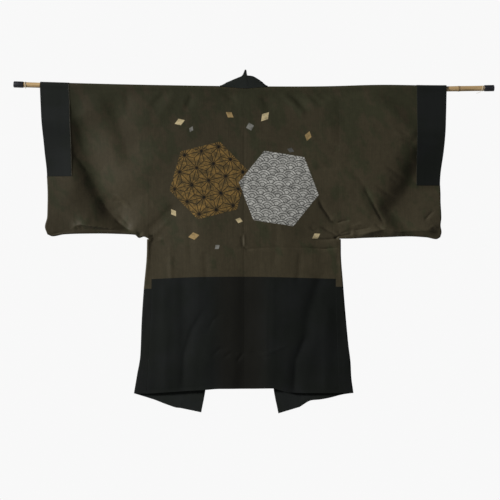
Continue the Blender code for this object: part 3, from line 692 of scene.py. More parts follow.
def settle(
    column_x: Callable[[Array], Array], row_z: Callable[[Array], Array], shape: tuple[int, int]
) -> tuple[Array, Array]:
    """Find where upright columns, whose x changes with z, cross rows whose z changes with x.

    Args:
        column_x: Gives the columns' x at given heights.
        row_z: Gives the rows' heights at given x.
        shape: Number of rows and columns.

    Returns:
        The x and z of the crossings.
    """
    z = np.full(shape, ARMPIT_Z)
    x = np.zeros(shape)
    for _ in range(SETTLE_ROUNDS):
        x = column_x(z) + np.zeros(shape)
        z = row_z(x) + np.zeros(shape)
    return x, z


def stations(
    length: float, start: bool = False, end: bool = False, cell: float = CELL, fine: tuple = (0.0, 0.0)
) -> Array:
    """Spread grid lines over a length, closer together beside a seam and where creases lie.

    Args:
        length: Length to cover, in metres.
        start: Whether a seam lies at the start.
        end: Whether a seam lies at the end.
        cell: Spacing elsewhere.
        fine: From where to where the spacing is fine.

    Returns:
        Rising shares of the length, from 0 to 1.
    """
    marks = [0.0]
    while marks[-1] < length:
        marks.append(marks[-1] + (FINE_CELL if fine[0] <= marks[-1] < fine[1] else cell))
    marks = set(np.array(marks) * (length / marks[-1]))
    if start:
        marks |= set(SEAM_ROWS)
    if end:
        marks |= {length - row for row in SEAM_ROWS}
    return np.array(sorted(marks)) / length


# --- Sheets of cloth ---


@dataclass
class Patch:
    """A grid of points of a sheet's inner face.

    Attributes:
        points: Rows by columns of x, y, z.
        keep: Which cells are cloth.
        lift: How far each point moves outward for seams and puckers.
        outward: 1 if rows then columns turn towards the outside, else -1.
    """

    points: Array
    keep: Optional[Array] = None
    lift: Optional[Array] = None
    outward: int = 1

    def normals(self) -> Array:
        """Outward normals of the grid."""
        along = np.gradient(self.points, axis=0)
        across = np.gradient(self.points, axis=1)
        normal = np.cross(across, along) * self.outward
        return normal / np.maximum(np.linalg.norm(normal, axis=-1, keepdims=True), 1e-12)

    def lifted(self) -> Array:
        """The points after their lift."""
        if self.lift is None:
            return self.points
        return self.points + self.normals() * self.lift[..., None]

    def flat_coordinates(self) -> Array:
        """Coordinates on the flat cloth, in metres."""
        down = np.linalg.norm(np.diff(self.points, axis=0), axis=-1).mean(axis=1)
        across = np.linalg.norm(np.diff(self.points, axis=1), axis=-1).mean(axis=0)
        v = np.concatenate(([0.0], np.cumsum(down)))
        u = np.concatenate(([0.0], np.cumsum(across)))
        return np.stack(np.meshgrid(u, v), axis=-1)


class Slot(Enum):
    """The finishes that the record names."""

    LINING = "lining_silk"
    OUTER = "outer_silk"
    BAMBOO = "bamboo"
    CAP = "cap_plastic"


def added(name: str, data: bpy.types.ID) -> Piece:
    """Put a new object into the scene."""
    piece = bpy.data.objects.new(name, data)
    bpy.context.scene.collection.objects.link(piece)
    return piece


def report(piece: Piece) -> None:
    """Log the size of a finished piece."""
    log.info("%s: %d faces", piece.name, len(piece.data.polygons))


def only(piece: Piece) -> None:
    """Select one object and make it the active one."""
    bpy.ops.object.select_all(action="DESELECT")
    piece.select_set(True)
    bpy.context.view_layer.objects.active = piece


def apply_all(piece: Piece) -> None:
    """Apply an object's modifiers in order."""
    only(piece)
    for modifier in list(piece.modifiers):
        bpy.ops.object.modifier_apply(modifier=modifier.name)


def patch_mesh(name: str, patches: Sequence[Patch]) -> bpy.types.Mesh:
    """Join patches into one welded mesh with flat coordinates.

    Args:
        name: The mesh's name.
        patches: The grids, whose outermost points may coincide.

    Returns:
        The mesh.
    """
    vertices, faces, coordinates = [], [], []
    for patch in patches:
        rows, columns = patch.points.shape[:2]
        first = sum(len(part) for part in vertices)
        number = first + np.arange(rows * columns).reshape(rows, columns)
        corner = [number[:-1, :-1], number[:-1, 1:], number[1:, 1:], number[1:, :-1]]
        cells = np.stack(corner if patch.outward > 0 else corner[::-1], axis=-1)
        keep = patch.keep if patch.keep is not None else np.ones(cells.shape[:2], bool)
        faces.append(cells[keep])
        vertices.append(patch.lifted().reshape(-1, 3))
        coordinates.append(patch.flat_coordinates().reshape(-1, 2))
    mesh = bpy.data.meshes.new(name)
    mesh.from_pydata(np.concatenate(vertices).tolist(), [], np.concatenate(faces).tolist())
    layer = mesh.uv_layers.new(name="cloth")
    corners = np.empty(len(mesh.loops), np.int32)
    mesh.loops.foreach_get("vertex_index", corners)
    layer.data.foreach_set("uv", np.concatenate(coordinates)[corners].astype(np.float32).ravel())
    sheet = bmesh.new()
    sheet.from_mesh(mesh)
    bmesh.ops.delete(sheet, geom=[v for v in sheet.verts if not v.link_faces], context="VERTS")
    bmesh.ops.remove_doubles(sheet, verts=sheet.verts, dist=WELD)
    sheet.to_mesh(mesh)
    sheet.free()
    return mesh


@dataclass(frozen=True)
class ClothPiece:
    """One cut piece of the jacket, and figures about it.

    Attributes:
        node: The CAD node that it stands for, whose name it bears.
        slot: The record's finish.
        flat: Width and length that the piece is cut to. It is not used.
        thickness: Thickness of its wall.
        area: Flat area, where the cut isn't a rectangle. It is not used.
        rests_on: What carries it. It is not used.
        rim: Radius of the folded rim.
    """

    node: str
    slot: Slot
    flat: tuple[float, float]
    thickness: float = CLOTH
    area: Optional[float] = None
    rests_on: tuple[str, ...] = ("rod",)
    rim: float = 0.0004

    def make(self, patches: Sequence[Patch], wardrobe: "Wardrobe") -> Piece:
        """Build the piece and dress it.

        Args:
            patches: The grids of its inner face.
            wardrobe: The jacket's materials.

        Returns:
            The finished object, which has taken the CAD node's place.
        """
        name = self.node + "_cloth"
        piece = added(name, patch_mesh(name, patches))
        wardrobe.dress(piece, self.slot)
        piece.data.shade_smooth()
        wall = piece.modifiers.new("wall", "SOLIDIFY")
        wall.thickness = self.thickness
        wall.offset = 1.0
        wall.use_even_offset = True
        wall.material_offset = 1
        wall.material_offset_rim = 1
        edge = piece.modifiers.new("rim", "BEVEL")
        edge.width = self.rim
        edge.segments = 2
        edge.limit_method = "ANGLE"
        edge.angle_limit = math.radians(62.0)
        edge.use_clamp_overlap = True
        piece.modifiers.new("even_shading", "WEIGHTED_NORMAL")
        apply_all(piece)
        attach(piece, "root")
        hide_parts(self.node)
        report(piece)
        return piece


class Seam(Enum):
    """The seams, each with the number that chooses its puckers."""

    PANEL_EDGE = 31
    CENTRE = 37
    BACK_TURN_UP = 41
    FRONT_TURN_UP = 43
    TURNED_CLOTH = 47
    GORE_LINING = 53
    GORE_HEM = 59
    ARMHOLE = 61
    FACING = 67
    SLEEVE_BOTTOM = 71
    COLLAR = 73


def pressed_edge(distance: Array, along: Array, seam: Seam, under: bool = False) -> Array:
    """Lift of the cloth beside a seam.

    Args:
        distance: Distance from the seam.
        along: Place along the seam.
        seam: Which seam it is.
        under: Whether this edge lies under the other one.

    Returns:
        A dip into the seam, with small puckers that die out away from it.
    """
    dip = -SEAM_DIP * under * np.exp(-((distance / DIP_WIDTH) ** 2))
    wave = Wobble(seam.value, PUCKER_LENGTH)(along, 0.0 * along)
    return dip + PUCKER_RISE * np.exp(-distance / PUCKER_REACH) * wave


def level_z(level: Array, top: Array, middle: Array, low: Array) -> Array:
    """Height of a row: level 0 is the top, 1 the middle and 2 the low end."""
    return np.where(level <= 1.0, lerp(top, middle, level), lerp(middle, low, level - 1.0))


@dataclass(frozen=True)
class BodyPanel:
    """A body panel: its lining over the shoulder, and the outer cloth turned up above each hem."""

    side: Side
    neck_width: float = NECK_X
    panel_width: float = 0.2290
    upper_length: float = 0.4780
    lower_length: float = 0.1250
    hem_length: float = 0.3620
    fine_above: float = 0.380       # rows are fine from here down to the armpit
    fine_below: float = 0.045       # and this far below it
    roll: tuple[float, float] = (0.0006, 0.004)
    groove: tuple[float, float, float] = (0.0003, 0.012, 0.005)
    shoulder_steps: int = 12
    neck_steps: int = 4

    def edge_x(self, z: Array) -> Array:
        """Edge of the panel: the armhole seam, and below the armpit the gore's seam."""
        edge = np.where(z >= ARMPIT_Z, self.side.armhole_x, x_at(self.side.gore_seam, z))
        return edge + self.side.sign * SEAM_LAP / 2.0

    def back_x(self, column: Array, z: Array) -> Array:
        """Where a back column runs: 0 is the centre seam, 1 the neck's end, 2 the panel's edge."""
        sign = self.side.sign
        neck = sign * lerp(-SEAM_LAP / 2.0, NECK_X, column)
        return np.where(column <= 1.0, neck, lerp(sign * NECK_X, self.edge_x(z), column - 1.0))

    def front_x(self, column: Array, z: Array) -> Array:
        """Where a front column runs, from the collar's seam to the panel's edge."""
        return lerp(x_at(self.side.collar_seam, z), self.edge_x(z), np.maximum(column - 1.0, 0.0))

    def columns(self) -> Array:
        """All columns, from the centre seam to the panel's edge."""
        neck = stations(self.neck_width, start=True)
        body = stations(self.panel_width, start=True, end=True)
        return np.concatenate((neck, 1.0 + body[1:]))

    def beside_seams(self, column: Array, along: Array, back: bool) -> Array:
        """Lift beside the panel's upright seams.

        Args:
            column: The columns.
            along: Place along the seams.
            back: Whether it is the back.

        Returns:
            The lift.
        """
        edge = (2.0 - column) * self.panel_width
        lift = pressed_edge(edge, along, Seam.PANEL_EDGE, under=True)
        inner = column * self.neck_width if back else (column - 1.0) * self.panel_width
        return lift + pressed_edge(np.maximum(inner, 0.0), along, Seam.CENTRE, under=self.side is RIGHT)

    def lining(self) -> list[Patch]:
        """The grid of the lining, with the neck cut out."""
        column = self.columns()[None, :]
        upper = stations(self.upper_length, fine=(self.fine_above, self.upper_length))
        lower = stations(self.lower_length, end=True, fine=(0.0, self.fine_below))
        level = np.concatenate((upper, 1.0 + lower[1:]))[:, None]
        shape = (len(level), column.shape[1])

        def row_z(x: Array) -> Array:
            """Height of each row."""
            return level_z(level, fold_z(x), ARMPIT_Z, z_at(TURN_UP, x))

        back_x, back_z = settle(lambda z: self.back_x(column, z), row_z, shape)
        front_x, front_z = settle(lambda z: self.front_x(column, z), row_z, shape)
        back = FORM.points(Wall.BACK, back_x, back_z)[::-1]
        front = FORM.points(Wall.FRONT, front_x, front_z)

        step = np.arange(1, self.shoulder_steps)[:, None]
        angle = np.pi * step / self.shoulder_steps + np.zeros((1, column.shape[1]))
        arc_x = self.back_x(column, np.zeros((1, 1))) + np.zeros(angle.shape)
        neck_angle = np.arcsin(np.clip((z_at(NECK_EDGE, arc_x) - fold_z(arc_x)) / SHOULDER_RADIUS, -1, 1))
        angle = np.where(column < 1.0, neck_angle * step / self.neck_steps, angle)
        arc = FORM.shoulder(arc_x, angle)

        points = np.concatenate((back, arc, front))
        wall = len(back)
        keep = np.ones((len(points) - 1, column.shape[1] - 1), bool)
        middle = (column[0, 1:] + column[0, :-1]) / 2.0
        keep[wall - 1 + self.neck_steps:, middle < 1.0] = False

        turn = np.maximum(2.0 - level, 0.0) * self.lower_length
        back_lift = self.beside_seams(column, back_z, True) + pressed_edge(turn, back_x, Seam.BACK_TURN_UP)
        front_lift = self.beside_seams(column, front_z, False)
        front_lift = front_lift + pressed_edge(turn, front_x, Seam.FRONT_TURN_UP)
        arc_lift = self.beside_seams(column, 0.0 * arc_x, True)
        fade = smoothstep(0.0, SEAM_FADE, -back_z + fold_z(back_x))
        lift = np.concatenate(((back_lift * fade)[::-1], arc_lift * SHOULDER_LIFT, front_lift * fade))
        return [Patch(points, keep, lift, outward=self.side.sign)]

    def hem_roll(self, low: Array) -> Array:
        """Lift of a hem's folded edge, and the groove above it; low is the distance from the edge."""
        rise, width = self.roll
        depth, above, reach = self.groove
        return rise * np.exp(-((low / width) ** 2)) - depth * np.exp(-(((low - above) / reach) ** 2))

    def hem(self, front: bool) -> list[Patch]:
        """The grid of the outer cloth turned up above the back's or the front's hem.

        Args:
            front: Whether it is the front's.

        Returns:
            Its one patch.
        """
        column = self.columns()[None, :]
        if front:
            column = column[:, column[0] >= 1.0]
        hem = self.side.front_hem if front else BACK_HEM
        level = stations(self.hem_length, start=True)[:, None]
        column_x = self.front_x if front else self.back_x
        x, z = settle(
            lambda z: column_x(column, z),
            lambda x: lerp(z_at(TURN_UP, x) + SEAM_LAP, z_at(hem, x), level),
            (len(level), column.shape[1]),
        )
        wall = Wall.FRONT if front else Wall.BACK
        turn = pressed_edge(level * self.hem_length, x, Seam.TURNED_CLOTH, under=True)
        roll = self.hem_roll((1.0 - level) * self.hem_length)
        lift = self.beside_seams(column, z, not front) + turn + roll
        outward = self.side.sign if front else -self.side.sign
        return [Patch(FORM.points(wall, x, z), None, lift, outward)]

    def build(self, wardrobe: "Wardrobe") -> None:
        """Make the panel's three pieces."""
        name = self.side.name
        ClothPiece(f"body_lining_{name}", Slot.LINING, (0.325, 1.250), area=0.340).make(
            self.lining(), wardrobe
        )
        above = (f"body_lining_{name}",)
        ClothPiece(f"hem_back_{name}", Slot.OUTER, (0.315, 0.375), rests_on=above).make(
            self.hem(False), wardrobe
        )
        ClothPiece(f"hem_front_{name}", Slot.OUTER, (0.190, 0.425), area=0.062, rests_on=above).make(
            self.hem(True), wardrobe
        )


@dataclass(frozen=True)
class Gore:
    """The narrow side gore, folded in half along the jacket's side edge."""

    side: Side
    half_width: float = 0.0190
    cell: float = 0.0035
    fold_away: float = 0.020        # keeps the seam's puckers off the folded edge
    fold_steps: int = 6
    lining_length: float = 0.1570
    hem_length: float = 0.3350

    def grid(self, level: Array, row_z: Callable[[Array, Array, Array], Array], seam: Seam) -> list[Patch]:
        """Bend the gore's grid.

        Args:
            level: The rows.
            row_z: Height of a row from its level, its x and whether it is on the front half.
            seam: Which seam sews it in.

        Returns:
            The gore's one patch.
        """
        half = stations(self.half_width, start=True, cell=self.cell)
        turn = np.linspace(0.0, np.pi, self.fold_steps + 1)
        across = np.concatenate((half, np.ones(self.fold_steps - 1), half[::-1]))[None, :]
        angle = np.concatenate((np.zeros(len(half)), turn[1:-1], np.full(len(half), np.pi)))[None, :]
        on_front = (np.arange(across.shape[1]) >= len(half) + self.fold_steps - 1)[None, :]
        sign = self.side.sign
        inset = -sign * (EDGE_RADIUS + CLOTH)
        level = level[:, None]

        def column_x(z: Array) -> Array:
            """Where each column runs, from the seam to the folded edge and back."""
            sewn = x_at(self.side.gore_seam, z) - sign * SEAM_LAP / 2.0
            return lerp(sewn, x_at(self.side.body_side, z) + inset, across)

        x, z = settle(column_x, lambda x: row_z(level, x, on_front), (len(level), across.shape[1]))
        back, front = FORM.points(Wall.BACK, x, z), FORM.points(Wall.FRONT, x, z)
        points = np.where(on_front[..., None], front, back)
        bend = (angle > 0.0) & (angle < np.pi)
        fold_x = x + sign * EDGE_RADIUS * np.sin(angle)
        fold = np.stack([fold_x, -EDGE_RADIUS * np.cos(angle) + 0.0 * x, z], axis=-1)
        points = np.where(bend[..., None], fold, points)
        lift = pressed_edge(across * self.half_width + self.fold_away * bend, z, seam)
        return [Patch(points, None, lift, outward=-sign)]

    def build(self, wardrobe: "Wardrobe") -> None:
        """Make the gore's lined stretch and its stretch of outer cloth."""
        top, black = self.side.body_side[0].z, self.side.gore_black_z
        lined = stations(self.lining_length, start=True, end=True)
        turned = stations(self.hem_length, start=True)

        def lining_z(level: Array, x: Array, _: Array) -> Array:
            """Height of a row of the lined stretch."""
            return lerp(top, black, level) + 0.0 * x

        def hem_z(level: Array, x: Array, on_front: Array) -> Array:
            """Height of a row of the stretch of outer cloth."""
            low = np.where(on_front, z_at(self.side.front_hem, x), z_at(BACK_HEM, x))
            return lerp(black + SEAM_LAP, low, level)

        name = self.side.name
        ClothPiece(
            f"gore_lining_{name}", Slot.LINING, (0.050, 0.170), area=0.0060,
            rests_on=(f"body_lining_{name}",),
        ).make(self.grid(lined, lining_z, Seam.GORE_LINING), wardrobe)
        ClothPiece(
            f"gore_hem_{name}", Slot.OUTER, (0.075, 0.360), area=0.0210, rests_on=(f"gore_lining_{name}",)
        ).make(self.grid(turned, hem_z, Seam.GORE_HEM), wardrobe)


@dataclass(frozen=True)
class Sleeve:
    """A sleeve with its cuff facing: one rectangle folded over the rod and sewn at the bottom."""

    side: Side
    facing_width: float = 0.0880
    shoulder_steps: int = 12
    edge_steps: int = 6
    corner_steps: int = 4
    close_length: float = 0.0100
    fine_below: float = 0.060       # rows are fine from here on, below the cuff's opening
    facing_pucker: float = 0.25
    bottom_rise: float = 0.0003     # puckers along the bottom seam
    bottom_reach: float = 0.020
    bottom_length: float = 0.024
    bottom_fade: tuple[float, float] = (-0.0004, 0.0016)
    # The left facing's stitches are a paler thread that paints a highlight on the facing's lit edge.
    painted_highlight_inset: float = 0.0010       # how far outside the facing's edge its stitches lie
    dark_inset: float = 0.0002
    thread_seat: float = 0.6        # how deep they lie, as a share of the facing's wall

    @property
    def sleeve_width(self) -> float:
        """Width between the armhole and the facing."""
        return abs(self.side.facing_seam[0].x - self.side.armhole_x)

    def columns(self) -> Array:
        """Columns: 0 is the armhole, 1 the facing's inner edge, 2 the sleeve's end."""
        main = stations(self.sleeve_width, start=True, end=True)
        cuff = stations(self.facing_width, start=True, end=True)
        return np.concatenate((main, 1.0 + cuff[1:]))

    def levels(self) -> Array:
        """Rows: 0 is the fold, 1 the lower end of the cuff opening, 2 the sleeve's bottom."""
        upper = stations(-self.side.facing_z, end=True)
        low_length = self.side.facing_z - self.side.sleeve_bottom[0].z
        lower = stations(low_length, start=True, fine=(self.fine_below, low_length))
        return np.concatenate((upper, 1.0 + lower[1:]))

    def closed(self, z: Array) -> Array:
        """0 above the cuff opening's end, 1 below it, where the sleeve's end is sewn shut."""
        return smoothstep(0.0, self.close_length, self.side.facing_z - z)

    def column_x(self, column: Array, z: Array) -> Array:
        """Where a column runs.

        Args:
            column: The column.
            z: Height.

        Returns:
            The x there.
        """
        sign = self.side.sign
        inner = self.side.armhole_x - sign * SEAM_LAP / 2.0
        seam = x_at(self.side.facing_seam, z)
        end = x_at(self.side.sleeve_end, z) - sign * (CLOTH + EDGE_RADIUS * self.closed(z))
        return np.where(column <= 1.0, lerp(inner, seam, column), lerp(seam, end, column - 1.0))

    def wall(self) -> tuple[Array, Array, Array]:
        """The sleeve's columns and the x and z of its wall's grid, from the fold down."""
        column, level = self.columns()[None, :], self.levels()[:, None]

        def row_z(x: Array) -> Array:
            """Height of each row."""
            low = z_at(self.side.sleeve_bottom, x) + CLOTH + EDGE_RADIUS
            return level_z(level, fold_z(x), self.side.facing_z, low)

        x, z = settle(lambda z: self.column_x(column, z), row_z, (len(level), column.shape[1]))
        return column, x, z

    def tube(self) -> Patch:
        """The closed ring of the sleeve: up the back, over the rod, down the front, round the bottom."""
        column, x, z = self.wall()
        back, front = FORM.points(Wall.BACK, x, z)[::-1], FORM.points(Wall.FRONT, x, z)
        step = np.arange(1, self.shoulder_steps)[:, None]
        arc_x = self.column_x(column, np.zeros((1, 1))) + np.zeros((len(step), column.shape[1]))
        arc = FORM.shoulder(arc_x, np.pi * step / self.shoulder_steps + 0.0 * arc_x)
        turn = (np.pi * np.arange(1, self.edge_steps + 1) / self.edge_steps)[:, None]
        half = (front[-1:, :, 1] - back[:1, :, 1]) / 2.0
        centre = (front[-1:, :, 1] + back[:1, :, 1]) / 2.0
        low_z = z[-1:] - EDGE_RADIUS * np.sin(turn)
        low = np.stack([x[-1:] + 0.0 * turn, centre + half * np.cos(turn), low_z], axis=-1)
        armhole = column * self.sleeve_width
        cuff = np.abs(column - 1.0) * np.where(column < 1.0, self.sleeve_width, self.facing_width)
        lift = pressed_edge(armhole, z, Seam.ARMHOLE)
        lift = lift + self.facing_pucker * pressed_edge(cuff, z, Seam.FACING)
        lift *= smoothstep(0.0, SEAM_FADE, fold_z(x) - z)
        bottom = z - z[-1:]
        wave = Wobble(Seam.SLEEVE_BOTTOM.value, self.bottom_length)(x, 0.0 * x)
        lift += self.bottom_rise * np.exp(-bottom / self.bottom_reach) * wave
        lift *= smoothstep(*self.bottom_fade, bottom)
        arc_lift = SHOULDER_LIFT * pressed_edge(armhole, 0.0, Seam.ARMHOLE) + 0.0 * arc_x
        lift = np.concatenate((lift[::-1], arc_lift, lift, 0.0 * low[..., 0]))
        return Patch(np.concatenate((back, arc, front, low)), None, lift, self.side.sign)

    def end_strip(self, tube: Patch) -> list[Patch]:
        """The rounded end below the cuff opening, and the rounded corner under it.

        Args:
            tube: The sleeve's ring.

        Returns:
            The two patches.
        """
        points = tube.lifted()
        rows = len(self.levels())
        down = self.levels() >= 1.0
        back = points[:rows][::-1][down][:, -1]
        front = points[rows + self.shoulder_steps - 1:][:rows][down][:, -1]
        angle = (np.pi * np.arange(self.edge_steps + 1) / self.edge_steps)[None, :]
        centre, half = (front + back) / 2.0, (front - back) / 2.0
        swell = (EDGE_RADIUS * self.closed(back[:, 2]))[:, None]
        strip = centre[:, None, :] - half[:, None, :] * np.cos(angle)[..., None]
        strip[..., 0] += self.side.sign * swell * np.sin(angle)
        tilt = np.linspace(0.0, np.pi / 2.0, self.corner_steps)[:, None]
        corner = centre[-1] - half[-1] * np.cos(angle)[..., None] + np.zeros((self.corner_steps, 1, 1))
        corner[..., 0] += self.side.sign * EDGE_RADIUS * np.sin(angle) * np.cos(tilt)
        corner[..., 2] -= EDGE_RADIUS * np.sin(angle) * np.sin(tilt)
        return [Patch(strip, None, None, -self.side.sign), Patch(corner, None, None, -self.side.sign)]

    def facing(self, tube: Patch) -> Patch:
        """The cuff's facing, laid on the sleeve.

        Args:
            tube: The sleeve's ring.

        Returns:
            The facing's grid.
        """
        open_part, column = self.levels() <= 1.0, self.columns()
        over, under = np.ones(self.shoulder_steps - 1, bool), np.zeros(self.edge_steps, bool)
        wanted = np.flatnonzero(np.concatenate((open_part[::-1], over, open_part, under)))
        points = tube.lifted() + tube.normals() * (CLOTH + SEAM_GAP)
        points = points[wanted][:, column >= 1.0]
        return Patch(points, None, None, self.side.sign)

    def build(self, wardrobe: "Wardrobe") -> None:
        """Make the sleeve, its facing and the stitches that hold the facing."""
        name = self.side.name
        tube = self.tube()
        ClothPiece(f"sleeve_{name}", Slot.LINING, (0.355, 0.990), rests_on=("rod",)).make(
            [tube, *self.end_strip(tube)], wardrobe
        )
        facing = self.facing(tube)
        ClothPiece(
            f"cuff_facing_{name}", Slot.OUTER, (0.100, 0.640), FACING_CLOTH, rests_on=(f"sleeve_{name}",)
        ).make([facing], wardrobe)
        line = facing.points[:, 0] + facing.normals()[:, 0] * (FACING_CLOTH * self.thread_seat)
        inward = facing.points[:, 1] - facing.points[:, 0]
        inward = inward / np.linalg.norm(inward, axis=-1, keepdims=True)
        row = f"facing_stitches_{name}"
        # The left row is paler thread, which paints a highlight along the lit edge of the left facing; the
        # right row keeps the darker basting thread.
        if self.side is LEFT:
            stitches = StitchRow(row, line - inward * self.painted_highlight_inset, 0.0046, 0.0040, 0.00045)
            stitches.build(wardrobe.thread_painted_highlight)
        else:
            StitchRow(row, line - inward * self.dark_inset).build(wardrobe.thread)


# --- Collar, stitches and fastening loops ---

# The collar around the neck: its sewn edge, then its free edge, as x, y, z in millimetres
NECK_STATIONS = (
    (-80.0, 11.1, -26.4, -43.0, 13.3, -20.2),
    (-77.6, 9.4, -1.4, -49.0, 11.4, 3.8),
    (-77.3, 9.0, 4.8, -52.0, 10.5, 9.0),
    (-77.0, 6.1, 9.2, -55.0, 6.5, 12.8),
    (-76.8, 0.0, 11.0, -57.0, 0.5, 14.2),
    (-75.6, -5.2, 9.8, -57.5, -3.7, 17.6),
    (-66.0, -7.2, 8.8, -50.0, -5.2, 23.3),
    (-48.0, -7.5, 7.0, -34.6, -6.3, 31.0),
    (-26.0, -7.8, 4.8, -18.0, -7.0, 38.0),
    (-10.0, -8.3, 3.4, -7.0, -7.2, 43.0),
    (-3.0, -8.5, 2.9, -2.4, -7.2, 48.8),
    (1.0, -8.5, 2.8, 1.0, -7.2, 56.8),
    (4.5, -8.5, 2.8, 4.0, -7.2, 63.2),
    (8.0, -8.5, 2.8, 7.2, -7.2, 62.8),
    (12.0, -8.5, 2.9, 8.8, -7.2, 52.8),
    (16.0, -8.3, 3.2, 11.2, -7.2, 45.0),
    (29.0, -8.1, 4.2, 26.2, -7.0, 43.2),
    (45.0, -7.7, 5.9, 41.0, -6.3, 36.0),
    (64.0, -7.3, 7.6, 55.8, -5.2, 25.2),
    (74.5, -5.2, 9.0, 61.0, -3.7, 17.8),
    (76.6, 0.0, 10.4, 61.2, 0.5, 13.8),
    (77.1, 6.1, 8.6, 58.5, 6.5, 11.8),
    (77.3, 9.0, 4.2, 55.0, 10.5, 8.0),
    (77.8, 9.4, -1.4, 51.5, 11.4, 3.4),
    (82.0, 11.1, -26.4, 45.0, 13.3, -20.2),
)


@dataclass(frozen=True)
class Collar:
    """The collar: one long strip up the left front, around the neck and down the right front."""

    width: float = 0.0640
    length: float = 2.3
    front_rows: int = 200
    neck_steps: int = 5

    def front(self, side: Side) -> Array:
        """Rows of the collar on one front, from the hem up.

        Args:
            side: Which front.

        Returns:
            The points, row by row.
        """
        share = np.linspace(0.0, 1.0, self.front_rows)[:, None]
        across = stations(self.width, start=True)[None, :]
        seam_z = lerp(side.collar_seam[-1].z, COLLAR_TOP_Z, share)
        free_z = lerp(side.collar_free[-1].z, COLLAR_TOP_Z, share)
        seam_x = x_at(side.collar_seam, seam_z) + side.sign * SEAM_LAP
        free_x = x_at(side.collar_free, free_z)
        return FORM.points(Wall.FRONT, lerp(seam_x, free_x, across), lerp(seam_z, free_z, across))

    def neck(self) -> Array:
        """Rows around the neck, along a smooth line through its stations."""
        key = np.array(NECK_STATIONS) / PER_METRE
        place = np.arange(len(key))
        fine = np.linspace(0, len(key) - 1, (len(key) - 1) * self.neck_steps + 1)
        line = np.stack([read_smooth(place, key[:, i], fine) for i in range(6)], axis=-1)
        across = stations(self.width, start=True)[None, :, None]
        return lerp(line[:, None, :3], line[:, None, 3:], across)

    def build(self, wardrobe: "Wardrobe") -> None:
        """Make the collar."""
        left, neck, right = self.front(LEFT), self.neck(), self.front(RIGHT)[::-1]
        points = np.concatenate((left, neck, right))
        across = stations(self.width, start=True)[None, :] * self.width
        along = np.linspace(0.0, self.length, len(points))[:, None]
        lift = pressed_edge(across + 0.0 * along, along + 0.0 * across, Seam.COLLAR)
        lift[self.front_rows:-self.front_rows] = 0.0
        ClothPiece(
            "collar", Slot.OUTER, (0.130, 2.330), COLLAR_CLOTH, area=0.160, rests_on=("rod",), rim=0.0009
        ).make([Patch(points, None, lift, -1)], wardrobe)


def joined_mesh(name: str, vertices: Sequence[Array], faces: Sequence[Array]) -> bpy.types.Mesh:
    """Make one mesh of several sets of vertices and faces.

    Args:
        name: The mesh's name.
        vertices: The sets of vertices.
        faces: The faces of each set, numbered from 0.

    Returns:
        The mesh.
    """
    first, rows = 0, []
    for points, part in zip(vertices, faces):
        rows += [[corner + first for corner in face] for face in part]
        first += len(points)
    mesh = bpy.data.meshes.new(name)
    mesh.from_pydata(np.concatenate(vertices).tolist(), [], rows)
    mesh.shade_smooth()
    return mesh


@dataclass(frozen=True)
class StitchRow:
    """A row of small hand stitches along a line of points."""

    name: str
    line: Array
    spacing: float = 0.0075
    length: float = 0.0022
    radius: float = 0.00028
    flatness: float = 0.8
    look_ahead: float = 0.002
    unevenness: tuple[float, float] = (0.88, 1.12)
    seed: int = 5

    def template(self) -> tuple[Array, list[list[int]]]:
        """One stitch, modelled once along X at the origin."""
        bpy.ops.object.select_all(action="DESELECT")
        bpy.ops.mesh.primitive_uv_sphere_add(segments=8, ring_count=6, radius=1.0, location=(0, 0, 0))
        ball = bpy.context.object
        bpy.ops.object.mode_set(mode="EDIT")
        bpy.ops.mesh.select_all(action="SELECT")
        bpy.ops.transform.resize(value=(self.length / 2.0, self.radius, self.radius * self.flatness))
        bpy.ops.object.mode_set(mode="OBJECT")
        points = np.array([tuple(vertex.co) for vertex in ball.data.vertices])
        faces = [list(face.vertices) for face in ball.data.polygons]
        bpy.data.objects.remove(ball)
        return points, faces

    def spot(self, along: Array, at: float) -> Array:
        """The point of the line that lies a given way along it."""
        return np.array([np.interp(at, along, self.line[:, i]) for i in range(3)])

    def build(self, thread: Material) -> None:
        """Lay copies of the stitch along the line."""
        points, faces = self.template()
        along = travelled(self.line)
        draw = np.random.default_rng(self.seed)
        vertices = []
        at = self.spacing
        while at < along[-1] - self.spacing:
            here, ahead = self.spot(along, at), self.spot(along, at + self.look_ahead)
            turn = Vector(ahead - here).to_track_quat("X", "Z").to_matrix()
            vertices.append(points @ np.array(turn).T + here)
            at += self.spacing * draw.uniform(*self.unevenness)
        piece = added(self.name, joined_mesh(self.name, vertices, [faces] * len(vertices)))
        piece.data.materials.append(thread)
        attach(piece, "root")
        log.info("%s: %d stitches", self.name, len(vertices))


@dataclass(frozen=True)
class Tube:
    """A thread or cord that follows a line of points."""

    name: str
    lines: tuple[Array, ...]
    radius: float
    sides: int = 3

    def build(self, material: Material) -> Piece:
        """Make the tube as a mesh.

        Args:
            material: The thread's material.

        Returns:
            The finished tube.
        """
        curve = bpy.data.curves.new(self.name, "CURVE")
        curve.dimensions = "3D"
        curve.bevel_depth = self.radius
        curve.bevel_resolution = self.sides
        curve.use_fill_caps = True
        for line in self.lines:
            spline = curve.splines.new("POLY")
            spline.points.add(len(line) - 1)
            for knot, point in zip(spline.points, line):
                knot.co = (*point, 1.0)
        piece = added(self.name, curve)
        only(piece)
        bpy.ops.object.convert(target="MESH")
        piece.data.shade_smooth()
        piece.data.materials.clear()
        piece.data.materials.append(material)
        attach(piece, "root")
        return piece


